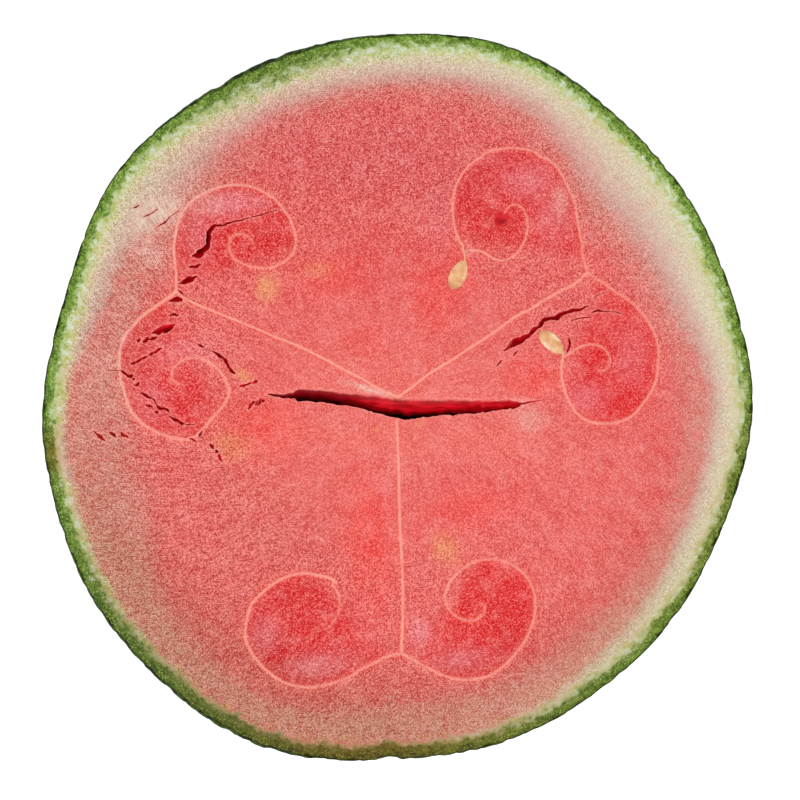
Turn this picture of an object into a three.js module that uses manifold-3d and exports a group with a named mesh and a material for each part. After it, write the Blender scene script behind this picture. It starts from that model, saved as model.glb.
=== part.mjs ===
// Half of a small round watermelon, cut across its middle. It lies on its dome, cut face up, and rests on the
// spot that its own weight has pressed flat. The flesh has split: one wide crack runs through the heart, and
// narrower tears follow the curled walls on both sides of it.
//
// It is one piece, so it is one closed solid: a dome with slightly lobed skin, a flat cut face, and the tears
// cut down into that face. Lengths are in millimetres and angles in degrees. +Z is up, and the origin is the
// middle of the resting spot.

import * as THREE from "three";
import { mergeVertices } from "three/addons/utils/BufferGeometryUtils.js";
import Module from "manifold-3d";

const wasm = await Module();
wasm.setup();

// Driving dimensions.
const FACE_RADIUS = 110; // mean radius of the cut face, over the skin
const HEIGHT = 112; // from the resting spot up to the cut face
const GIRTH_DEPTH = 11; // how far the widest girth lies under the cut face
const FLATTENED = 1.4; // how much of the dome is pressed flat at its lowest point
const RIM_BEVEL = 0.6; // the knife leaves the skin's edge slightly broken
const AXIS = new THREE.Vector2(-0.6, -0.6); // where the melon's own axis stands, seen from above

// The dome is an ellipsoid: these are its two half sizes, worked out from the dimensions above.
const POLE_RADIUS = HEIGHT - GIRTH_DEPTH + FLATTENED;
const CUT_LATITUDE = Math.asin(GIRTH_DEPTH / POLE_RADIUS);
const GIRTH_RADIUS = FACE_RADIUS / Math.cos(CUT_LATITUDE);

// The melon isn't quite round. Each wave goes round the girth with a number of lobes, a height, and the
// direction of one crest.
const GIRTH_WAVES = [
  { lobes: 2, height: 2.37, crest: 74 },
  { lobes: 3, height: 0.95, crest: -13 },
  { lobes: 4, height: 0.36, crest: -27 },
  { lobes: 5, height: 0.39, crest: -3 },
  { lobes: 6, height: 0.62, crest: 8 },
  { lobes: 7, height: 0.28, crest: -14 },
  { lobes: 10, height: 0.43, crest: -2 },
];
const LOBE_TWIST = 9; // the lobes lean this far round on their way down to the pole

const SEGMENTS = 108; // corners round the girth
const RINGS = 28; // rows from the resting spot to the rim

// The tears, as stations along the middle of each one: x, y, width on the cut face and depth. The lean says how
// far the bottom of the tear lies from its middle, as a share of the depth.
const TEARS = [
  {
    name: "heart crack",
    lean: new THREE.Vector2(0, -0.22),
    stations: [
      [-39.5, 0.6, 0.3, 3],
      [-35, 0.5, 1.8, 8],
      [-30, 1.0, 2.9, 13],
      [-25, 0.6, 3.9, 17],
      [-15, 0.2, 4.3, 21],
      [-6, -1.7, 5.0, 25],
      [1.5, -3.6, 6.5, 27],
      [12, -3.0, 5.6, 25],
      [20, -2.8, 5.1, 21],
      [28, -2.6, 4.3, 16],
      [34, -2.3, 3.2, 11],
      [37.5, -1.8, 1.9, 7],
      [44, -1.1, 0.4, 2],
    ],
  },
  {
    name: "right tear",
    lean: new THREE.Vector2(0.1, -0.2),
    stations: [
      [58.8, 28.0, 0.4, 2],
      [54.5, 26.7, 1.2, 6],
      [50, 25.3, 1.5, 9],
      [45.2, 23.0, 1.9, 11],
      [43, 20.9, 1.2, 10],
      [39.6, 19.0, 1.6, 9],
      [36.5, 16.4, 1.6, 6],
      [32.8, 14.3, 0.4, 2],
    ],
  },
  {
    name: "upper left tear",
    lean: new THREE.Vector2(-0.1, 0.1),
    stations: [
      [-45, 55.0, 0.4, 2],
      [-52, 53.0, 0.6, 4],
      [-55.8, 51.9, 1.0, 6],
      [-56.9, 49.6, 1.3, 7],
      [-58.2, 46.2, 1.6, 7],
      [-60.6, 43.8, 2.0, 6],
      [-62.4, 43.0, 0.5, 2],
    ],
  },
  {
    name: "upper left pocket",
    lean: new THREE.Vector2(0, 0.1),
    stations: [
      [-61.0, 37.1, 0.4, 1.5],
      [-62.9, 35.9, 2.0, 5],
      [-64.8, 35.5, 1.7, 5],
      [-66.6, 34.7, 0.5, 1.5],
    ],
  },
  {
    name: "middle left pocket",
    lean: new THREE.Vector2(0, -0.1),
    stations: [
      [-67.4, 22.3, 0.6, 2],
      [-69.8, 21.3, 2.4, 6],
      [-72.2, 20.8, 2.6, 7],
      [-74.6, 19.5, 0.5, 2],
    ],
  },
  {
    name: "inner left tear",
    lean: new THREE.Vector2(0, -0.1),
    stations: [
      [-56.6, 14.4, 0.4, 1.5],
      [-54.3, 12.9, 1.0, 4],
      [-51.3, 9.9, 1.2, 5],
      [-50.1, 8.3, 1.4, 5],
      [-49.0, 7.6, 0.4, 1.5],
    ],
  },
];
const ABOVE_FACE = 2; // how far each cutter stands proud of the cut face

const radians = THREE.MathUtils.degToRad;

// How far the skin stands out from the plain ellipsoid, at a direction round the melon and a latitude that is 0
// at the girth. Waves with many lobes die out first on the way to the pole.
function lobeHeight(around, latitude) {
  const girth = Math.cos(latitude);
  const twist = radians(LOBE_TWIST) * Math.sin(latitude);
  let sum = 0;
  for (const { lobes, height, crest } of GIRTH_WAVES) {
    const fade = Math.pow(girth, 1 + lobes / 4);
    sum += height * fade * Math.cos(lobes * (around - radians(crest) - twist));
  }
  return sum;
}

// A point of the skin. Below the resting spot the dome is pressed flat.
function skinPoint(around, latitude) {
  const radius = GIRTH_RADIUS * Math.cos(latitude) + lobeHeight(around, latitude);
  const z = HEIGHT - GIRTH_DEPTH + POLE_RADIUS * Math.sin(latitude);
  return new THREE.Vector3(
    AXIS.x + radius * Math.cos(around),
    AXIS.y + radius * Math.sin(around),
    Math.max(z, 0),
  );
}

// A closed mesh from rings of points that all have the same count, with a point at each end.
function closedRings(rings, first, last) {
  const count = rings[0].length;
  const points = [first, ...rings.flat(), last];
  const lastIndex = points.length - 1;
  const faces = [];
  const at = (ring, i) => 1 + ring * count + (i % count);
  for (let i = 0; i < count; i += 1) {
    faces.push(0, at(0, i + 1), at(0, i));
    for (let ring = 0; ring + 1 < rings.length; ring += 1) {
      faces.push(at(ring, i), at(ring, i + 1), at(ring + 1, i + 1));
      faces.push(at(ring, i), at(ring + 1, i + 1), at(ring + 1, i));
    }
    faces.push(at(rings.length - 1, i), at(rings.length - 1, i + 1), lastIndex);
  }
  const geometry = new THREE.BufferGeometry();
  const position = new Float32Array(points.flatMap((p) => [p.x, p.y, p.z]));
  geometry.setAttribute("position", new THREE.BufferAttribute(position, 3));
  geometry.setIndex(faces);
  return geometry;
}

// The uncut half: rows of skin from the resting spot up, then the bevel and the flat cut face.
function halfMelon() {
  const restLatitude = -Math.asin(1 - FLATTENED / POLE_RADIUS);
  const bevelLatitude = Math.asin((GIRTH_DEPTH - RIM_BEVEL) / POLE_RADIUS);
  const angles = Array.from({ length: SEGMENTS }, (_, i) => (2 * Math.PI * i) / SEGMENTS);
  const rings = [];
  for (let ring = 0; ring <= RINGS; ring += 1) {
    const latitude = THREE.MathUtils.lerp(restLatitude, bevelLatitude, ring / RINGS);
    rings.push(angles.map((around) => skinPoint(around, latitude)));
  }
  const middle = new THREE.Vector3(AXIS.x, AXIS.y, 0);
  const rim = angles.map((around) => {
    const edge = skinPoint(around, CUT_LATITUDE);
    const inward = new THREE.Vector3(AXIS.x - edge.x, AXIS.y - edge.y, 0).setLength(RIM_BEVEL);
    return edge.add(inward).setZ(HEIGHT);
  });
  rings.push(rim);
  return closedRings(rings, middle, middle.clone().setZ(HEIGHT));
}

// The wedge of space that a tear takes: five-sided sections along its stations. Each section has two corners
// above the face, two at the lips, and one at the bottom, which leans to one side.
function tearWedge({ stations, lean }) {
  const middles = stations.map(([x, y]) => new THREE.Vector2(x, y));
  const sections = stations.map(([, , width, depth], i) => {
    const before = middles[Math.max(i - 1, 0)];
    const after = middles[Math.min(i + 1, middles.length - 1)];
    const along = after.clone().sub(before).normalize();
    const left = new THREE.Vector2(-along.y, along.x).multiplyScalar(width / 2);
    const middle = middles[i];
    const bottom = middle.clone().addScaledVector(lean, depth);
    const leftLip = middle.clone().add(left);
    const rightLip = middle.clone().sub(left);
    return [
      new THREE.Vector3(rightLip.x, rightLip.y, HEIGHT + ABOVE_FACE),
      new THREE.Vector3(rightLip.x, rightLip.y, HEIGHT),
      new THREE.Vector3(bottom.x, bottom.y, HEIGHT - depth),
      new THREE.Vector3(leftLip.x, leftLip.y, HEIGHT),
      new THREE.Vector3(leftLip.x, leftLip.y, HEIGHT + ABOVE_FACE),
    ];
  });
  const middleOf = (section) =>
    section.reduce((sum, p) => sum.add(p), new THREE.Vector3()).divideScalar(section.length);
  return closedRings(sections, middleOf(sections[0]), middleOf(sections.at(-1)));
}

// A closed geometry as a solid that can be cut.
function solidOf(geometry) {
  const merged = mergeVertices(geometry, 1e-4);
  return new wasm.Manifold(
    new wasm.Mesh({
      numProp: 3,
      vertProperties: merged.attributes.position.array,
      triVerts: new Uint32Array(merged.index.array),
    }),
  );
}

// A solid back as a geometry.
function geometryOf(solid) {
  const mesh = solid.getMesh();
  const geometry = new THREE.BufferGeometry();
  geometry.setAttribute("position", new THREE.BufferAttribute(mesh.vertProperties, 3));
  geometry.setIndex(new THREE.BufferAttribute(mesh.triVerts, 1));
  geometry.computeVertexNormals();
  return geometry;
}

let melon = solidOf(halfMelon());
for (const tear of TEARS) {
  melon = melon.subtract(solidOf(tearWedge(tear)));
}

const flesh = new THREE.MeshStandardMaterial({ color: 0xe26a64, roughness: 0.45, metalness: 0 });
const watermelonHalf = new THREE.Mesh(geometryOf(melon), flesh);
watermelonHalf.name = "watermelon_half";

const group = new THREE.Group();
group.add(watermelonHalf);

export default group;
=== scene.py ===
# %% [markdown]
# # Half a watermelon
# A small round watermelon has been cut across its middle. One half lies on its dome with the cut face up.
# The flesh is coral red, six pale walls curl through it, and it has split along one wide crack through the
# heart.
#
# The visible model has three kinds of pieces: the flesh, which is everything that the knife cut through,
# the thin dark skin around it, and the two seeds that lie bare. Lengths are worked out in millimetres,
# because that is how one measures a melon, and each mesh is scaled to metres when it is made.

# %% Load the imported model
import math

import bpy
import numpy as np
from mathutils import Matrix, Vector, kdtree, noise
from mathutils.geometry import delaunay_2d_cdt


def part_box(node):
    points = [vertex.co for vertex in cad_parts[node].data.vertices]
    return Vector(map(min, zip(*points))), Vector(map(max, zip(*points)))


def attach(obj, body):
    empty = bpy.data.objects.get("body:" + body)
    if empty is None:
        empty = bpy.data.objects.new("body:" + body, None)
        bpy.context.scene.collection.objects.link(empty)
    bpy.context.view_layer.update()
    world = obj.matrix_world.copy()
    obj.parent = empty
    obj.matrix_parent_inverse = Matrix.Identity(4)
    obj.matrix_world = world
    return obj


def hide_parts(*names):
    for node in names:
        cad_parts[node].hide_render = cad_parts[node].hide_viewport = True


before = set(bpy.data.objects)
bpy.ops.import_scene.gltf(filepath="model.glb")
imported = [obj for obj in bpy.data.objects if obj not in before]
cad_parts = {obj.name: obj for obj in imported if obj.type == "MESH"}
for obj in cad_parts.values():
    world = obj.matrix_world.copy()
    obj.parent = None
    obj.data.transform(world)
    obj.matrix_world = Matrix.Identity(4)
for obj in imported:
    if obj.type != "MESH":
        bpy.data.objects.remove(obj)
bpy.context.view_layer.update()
cad_low, cad_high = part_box("watermelon_half")
print("the packed half is", [round(1000 * side, 1) for side in cad_high - cad_low], "mm")

# %% [markdown]
# ## The camera
# The camera looks straight down on the cut face. A long lens far away sees the face almost without
# perspective, so the thin line of skin around the rim shows evenly on all sides. The distance follows from
# the lens: the picture is as wide as the sensor is to the focal length.

# %% Camera
SENSOR_WIDTH = 36.0
LENS = 300.0
PICTURE_WIDTH = 0.2446
AIM = Vector((0.00115, -0.00080, 0.0))

camera_data = bpy.data.cameras.new("camera")
camera_data.lens = LENS
camera_data.sensor_width = SENSOR_WIDTH
camera_data.clip_end = 20.0
camera = bpy.data.objects.new("camera", camera_data)
camera.location = (AIM.x, AIM.y, cad_high.z + PICTURE_WIDTH * LENS / SENSOR_WIDTH)
bpy.context.scene.collection.objects.link(camera)
bpy.context.scene.camera = camera
print("the camera hangs", round(camera.location.z, 2), "m above the floor")

# %% [markdown]
# ## Smooth noise for shapes
# Nothing on a fruit is perfectly even. Blender's noise function gives a smooth random value for any place,
# and the same value each time, so a shape made with it never changes between runs. Dividing the place by a
# size first sets how wide the bumps are. The seed moves to another part of the noise, so that two effects
# differ.

# %% Noise for shapes
MM = 0.001


def wobble(places, size, seed):
    """Smooth noise from about -1 to 1 for each place, with bumps about size millimetres apart."""
    shift = Vector((17.3 * seed, 5.1 * seed, 29.7 * seed))
    full = np.zeros((len(places), 3))
    full[:, : places.shape[1]] = places
    return np.array([noise.noise(Vector(place) / size + shift) for place in full])


def smooth_step(value, low, high):
    """0 below low, 1 above high, and a soft climb between."""
    share = np.clip((value - low) / (high - low), 0.0, 1.0)
    return share * share * (3 - 2 * share)


def hump(place, centre, width):
    """A soft bump that is 1 at the centre. The place is a direction in degrees, or a distance."""
    away = (np.asarray(place) - centre + 180.0) % 360.0 - 180.0
    return np.exp(-((away / width) ** 2))


# %% [markdown]
# ## The outline of the melon
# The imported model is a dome: an ellipsoid with low waves around its girth, pressed flat where it lies. Both
# visible pieces need the same outline, so the same formula is written here once, for whole arrays of
# directions at a time. A latitude of 0 is the widest girth, which lies a little below the cut.

# %% Skin formula
FACE_RADIUS = 110.0
HEIGHT = 112.0
GIRTH_DEPTH = 11.0
FLATTENED = 1.4
EDGE_WEAR = 0.1
AXIS = np.array([-0.6, -0.6])
POLE_RADIUS = HEIGHT - GIRTH_DEPTH + FLATTENED
CUT_LATITUDE = math.asin(GIRTH_DEPTH / POLE_RADIUS)
GIRTH_RADIUS = FACE_RADIUS / math.cos(CUT_LATITUDE)
LOBE_TWIST = math.radians(9)
# Each wave round the girth: how many lobes it has, how high they are, and the direction of one crest.
GIRTH_WAVES = [(2, 2.37, 74), (3, 0.95, -13), (4, 0.36, -27), (5, 0.39, -3),
               (6, 0.62, 8), (7, 0.28, -14), (10, 0.43, -2)]


def skin_radius(around, latitude):
    """Distance of the skin from the melon's axis, for a direction and a latitude in radians."""
    girth = np.cos(latitude)
    radius = GIRTH_RADIUS * girth
    for lobes, height, crest in GIRTH_WAVES:
        turn = around - math.radians(crest) - LOBE_TWIST * np.sin(latitude)
        radius = radius + height * girth ** (1 + lobes / 4) * np.cos(lobes * turn)
    return radius


def skin_height(latitude):
    """Height of the skin above the floor. The lowest part is pressed flat."""
    return np.maximum(HEIGHT - GIRTH_DEPTH + POLE_RADIUS * np.sin(latitude), 0.0)


def unit(around):
    """The unit direction for each angle in radians."""
    return np.stack([np.cos(around), np.sin(around)], axis=1)


def rim_dents(around):
    """How far the rim dips in, in millimetres. Small dents all round, and deeper ones on two sides."""
    degrees = np.degrees(around)
    ring = FACE_RADIUS * unit(around)
    rough = 0.55 + 0.8 * hump(degrees, 256, 38) + 0.5 * hump(degrees, 125, 30) + 0.2 * hump(degrees, 35, 25)
    dents = 0.9 * wobble(ring, 4.6, 24).clip(0, 1) + 0.6 * wobble(ring, 2.0, 25).clip(0, 1)
    lump = 0.2 * hump(degrees, 186, 4)
    return rough * dents + 0.15 - lump


def skin_edge(around):
    """Where the knife left the outer edge of the skin."""
    return skin_radius(around, CUT_LATITUDE) - EDGE_WEAR - rim_dents(around)


def flesh_edge(around):
    """Where the flesh meets the skin on the cut face. The knife shaved more skin on two sides."""
    degrees = np.degrees(around)
    lip = 0.06 + 0.8 * hump(degrees, 112, 15) + 0.5 * hump(degrees, 240, 20)
    ragged = 0.12 * (1 + 1.5 * wobble(60 * unit(around), 1.2, 3)).clip(0, 3)
    return skin_edge(around) - lip - ragged


def polar(places):
    """Direction and distance of each place from the melon's axis."""
    away = places[:, :2] - AXIS
    return np.arctan2(away[:, 1], away[:, 0]), np.hypot(away[:, 0], away[:, 1])


print("the cut face is", round(2 * float(skin_edge(np.zeros(1))[0]), 1), "mm across at its middle")

# %% [markdown]
# ## Lines on the face
# The walls and the tears are drawn as a few points each, as one would pin a thread. A Catmull-Rom curve
# passes smoothly through such points. It is then cut into even steps, because the mesh needs evenly spaced
# corners.

# %% Curves through points


def smooth_line(points, step):
    """A smooth curve through rows of numbers. The first two columns are x and y, the rest follow along."""
    points = np.array(points, float)
    padded = np.vstack([2 * points[0] - points[1], points, 2 * points[-1] - points[-2]])
    share = np.linspace(0, 1, 12, endpoint=False)[:, None]
    parts = []
    for before, start, end, after in zip(padded, padded[1:], padded[2:], padded[3:]):
        bend = (2 * before - 5 * start + 4 * end - after) * share**2
        twist = (3 * start - before - 3 * end + after) * share**3
        parts.append(0.5 * (2 * start + (end - before) * share + bend + twist))
    fine = np.vstack([*parts, points[-1:]])
    along = np.concatenate([[0], np.cumsum(np.hypot(*np.diff(fine[:, :2], axis=0).T))])
    count = max(int(round(along[-1] / step)), 2)
    even = np.linspace(0, along[-1], count + 1)
    return np.stack([np.interp(even, along, column) for column in fine.T], axis=1)


def side_of(line):
    """For each point of a line, the unit direction to its left."""
    ahead = np.gradient(line[:, :2], axis=0)
    ahead /= np.linalg.norm(ahead, axis=1)[:, None]
    return np.stack([-ahead[:, 1], ahead[:, 0]], axis=1)


# %% [markdown]
# ## The pale walls
# A watermelon grows from three parts. Three straight walls run out from the heart, and each one splits in
# two and curls up in a spiral, where the seeds once hung. On the cut face they show as thin cream lines
# that stand a little proud of the softer flesh. Each is a list of x, y, width and how clearly it shows.

# %% Wall lines
RIGHT_FORK = (58.5, 38.3)
LEFT_FORK = (-67.3, 32.3)
LOWER_FORK = (1.6, -78.3)


def with_look(points, width, start, end):
    """Adds a width and a strength, which runs from start to end, to each point."""
    strengths = np.linspace(start, end, len(points))
    return [(x, y, width, strength) for (x, y), strength in zip(points, strengths)]


WALLS = [
    with_look([(0.5, 0), (5, 3.3), (8, 5.7), (11, 7.9), (16, 10.8), (22, 14.8), (30, 20), (36, 24.4),
               (41, 27), (45, 29.6), (51, 33), (55, 35), RIGHT_FORK], 0.8, 1.0, 0.75),
    with_look([(0, 0.2), (-6, 3), (-10, 5.5), (-15, 8), (-22, 11.8), (-30, 15.8), (-37, 18.5), (-43, 21.2),
               (-50, 24), (-55, 26), (-60, 28), (-64, 30), LEFT_FORK], 0.8, 0.9, 0.8),
    with_look([(0.2, -7), (0.5, -15), (0.8, -25), (1.2, -40), (1.8, -52), (2.1, -62), (1.8, -72), LOWER_FORK],
              0.9, 0.9, 0.8),
    # The upper left curl.
    with_look([LEFT_FORK, (-67.3, 37), (-67.6, 41), (-68, 45), (-67.6, 49), (-66.8, 53), (-65, 57),
               (-62, 60.5), (-57, 63.2), (-54, 64.3), (-50, 64.9), (-46, 64.8), (-43, 64), (-40, 62.5),
               (-37, 60.5), (-34.5, 57.5), (-32.5, 54.5), (-31.2, 51), (-30.7, 48), (-31.2, 45),
               (-32.5, 43), (-35, 41), (-38, 39.8), (-41, 39.5), (-44.5, 40), (-47.5, 41.2), (-50, 43),
               (-51.1, 46.5), (-50.4, 48.8), (-48.8, 49.9), (-46.3, 49.8), (-44.2, 48.3)], 0.85, 1.0, 0.55),
    # The lower left curl.
    with_look([LEFT_FORK, (-70.5, 30), (-74, 27.5), (-77.5, 25), (-80.5, 21.8), (-82.8, 19), (-84, 16),
               (-84.6, 13), (-84.6, 9.5), (-84.3, 6), (-83.5, 3), (-82.8, 0.5), (-81.8, -2.5), (-80.3, -5),
               (-77.5, -8), (-74, -10.2), (-70, -11.8), (-66, -12.8), (-62, -12.3), (-58.8, -9.5),
               (-56.5, -6.5), (-54, -3.8), (-52, -1), (-51, 2), (-52, 5), (-53.5, 7.5), (-56, 10),
               (-59, 11.7), (-62, 12.2), (-65.5, 11.3), (-68, 9), (-68.7, 7), (-68, 5), (-66.5, 4)], 1.0,
               1.0, 0.55),
    # The upper right curl, and its inner turn.
    with_look([RIGHT_FORK, (57.8, 40.5), (57, 43.5), (56.7, 47), (56, 51), (55.3, 55), (54.5, 60), (53, 63),
               (51.5, 66.5), (49.5, 70), (47, 72.3), (44, 73.7), (42, 75.2), (38.5, 76), (35, 76.3),
               (31, 75.8), (28, 75), (25, 73), (22, 70.5), (20, 68), (18.4, 65), (17.5, 61.5), (17.4, 57),
               (17.8, 52.5), (19, 48.5), (20.5, 46.3)], 0.8, 0.6, 0.8),
    with_look([(22.5, 45), (26, 44.7), (28.5, 43.2), (31, 42.1), (33.5, 42), (36.5, 43.8), (38.5, 46.5),
               (39.8, 49.5), (40.2, 53), (39.6, 56), (38.2, 58.3), (36, 59), (34, 58), (33.2, 56.5)],
              0.7, 0.9, 0.55),
    # The lower right curl, and its inner turn.
    with_look([RIGHT_FORK, (61, 36.5), (64, 34.5), (67.5, 32), (71, 29.8), (74, 27), (76.5, 24),
               (78.5, 20.5), (79.8, 17), (80.3, 13), (80, 9), (79.3, 5), (77.8, 1.5), (75.5, -1.8),
               (73, -4.8), (70, -6.8), (66.5, -7.8), (63, -7.9), (59, -7.3), (55.5, -5), (53.3, -2),
               (51.8, 1.5), (50.8, 5), (50.5, 8), (50.7, 11)], 0.85, 0.6, 0.85),
    with_look([(51.5, 12.8), (53.5, 13.8), (56, 15.3), (59, 16.2), (62, 15.8), (64.3, 14.2), (65.4, 11.8),
               (65, 9.5), (63.8, 8.3), (62, 8.2)], 0.75, 0.8, 0.5),
    # The bottom left curl, and its inner turn, which fades.
    with_look([LOWER_FORK, (-3, -79.3), (-7, -81.3), (-11, -83.3), (-15, -85.8), (-20, -87.5), (-25, -88.5),
               (-30, -88.3), (-35, -86.8), (-39, -84), (-42, -81), (-44.5, -77.5), (-46, -74), (-46, -70),
               (-45.3, -66.5), (-44, -63), (-41, -59.8), (-37.5, -57), (-33.5, -54.9), (-29, -53.8),
               (-25, -54.2), (-21, -55), (-18.2, -56.6)], 0.95, 0.65, 0.9),
    with_look([(-19.5, -57.5), (-17.8, -60), (-17.3, -63), (-17.8, -66), (-19.2, -68.5), (-21, -70.5),
               (-26, -72)], 0.8, 0.8, 0.15),
    # The bottom right curl.
    with_look([LOWER_FORK, (5, -80.2), (9, -82.3), (13, -84.3), (17, -85.8), (21, -86.3), (25, -86),
               (29, -84.8), (33, -82), (36, -78.8), (38.7, -75.5), (40.8, -71.5), (42.2, -67), (42.5, -62.5),
               (41.7, -58.5), (39.7, -54.8), (37, -52.2), (33.5, -50.3), (29.5, -49.5), (25.5, -49.8),
               (21.5, -51.5), (18.5, -54), (16, -57.3), (15, -61), (16, -64.5), (18.5, -67), (21.5, -68.2),
               (24.5, -68), (26.5, -66.3), (27, -64), (26, -63)], 0.9, 0.75, 0.6),
]
WALL_STEP = 0.26
wall_lines = [smooth_line(wall, WALL_STEP) for wall in WALLS]
wall_points = np.vstack(wall_lines)
print(len(WALLS), "wall lines,", round(len(wall_points) * WALL_STEP), "mm in all")

# %% [markdown]
# ## The tears
# Ripe flesh splits like crusty snow: a clean ragged gap, deep and wet inside. The wide heart crack and five
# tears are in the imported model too. The narrow ones below them are new here, and too small to matter to it.
# Each has a lean and a list of stations along its middle: x, y, width on the face, and depth. The lean says
# which way the bottom of the gap runs off sideways, as a share of the depth, so that one lip hangs over it.

# %% Tear stations


def slashes(start, end, count, turn, length):
    """A row of short rips from start to end, each turned by about that many degrees from the x axis."""
    rips = []
    for number in range(count):
        share = (number + 0.5) / count
        x = start[0] + share * (end[0] - start[0]) + 0.3 * math.sin(7 * number + turn)
        y = start[1] + share * (end[1] - start[1]) + 0.4 * math.cos(5 * number + turn)
        angle = math.radians(turn + 14 * math.sin(3 * number))
        half = length * (0.5 + 0.2 * math.sin(4 * number + turn))
        dx, dy = half * math.cos(angle), half * math.sin(angle)
        bulge = 0.25 * math.sin(2 * number)
        start_point = (x - dx, y - dy, 0.35, 0.8)
        middle_point = (x + bulge * dx, y + bulge * dy, 1.15, 1.9)
        rips.append(((0, 0), [start_point, middle_point, (x + dx, y + dy, 0.3, 0.8)]))
    return rips


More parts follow.
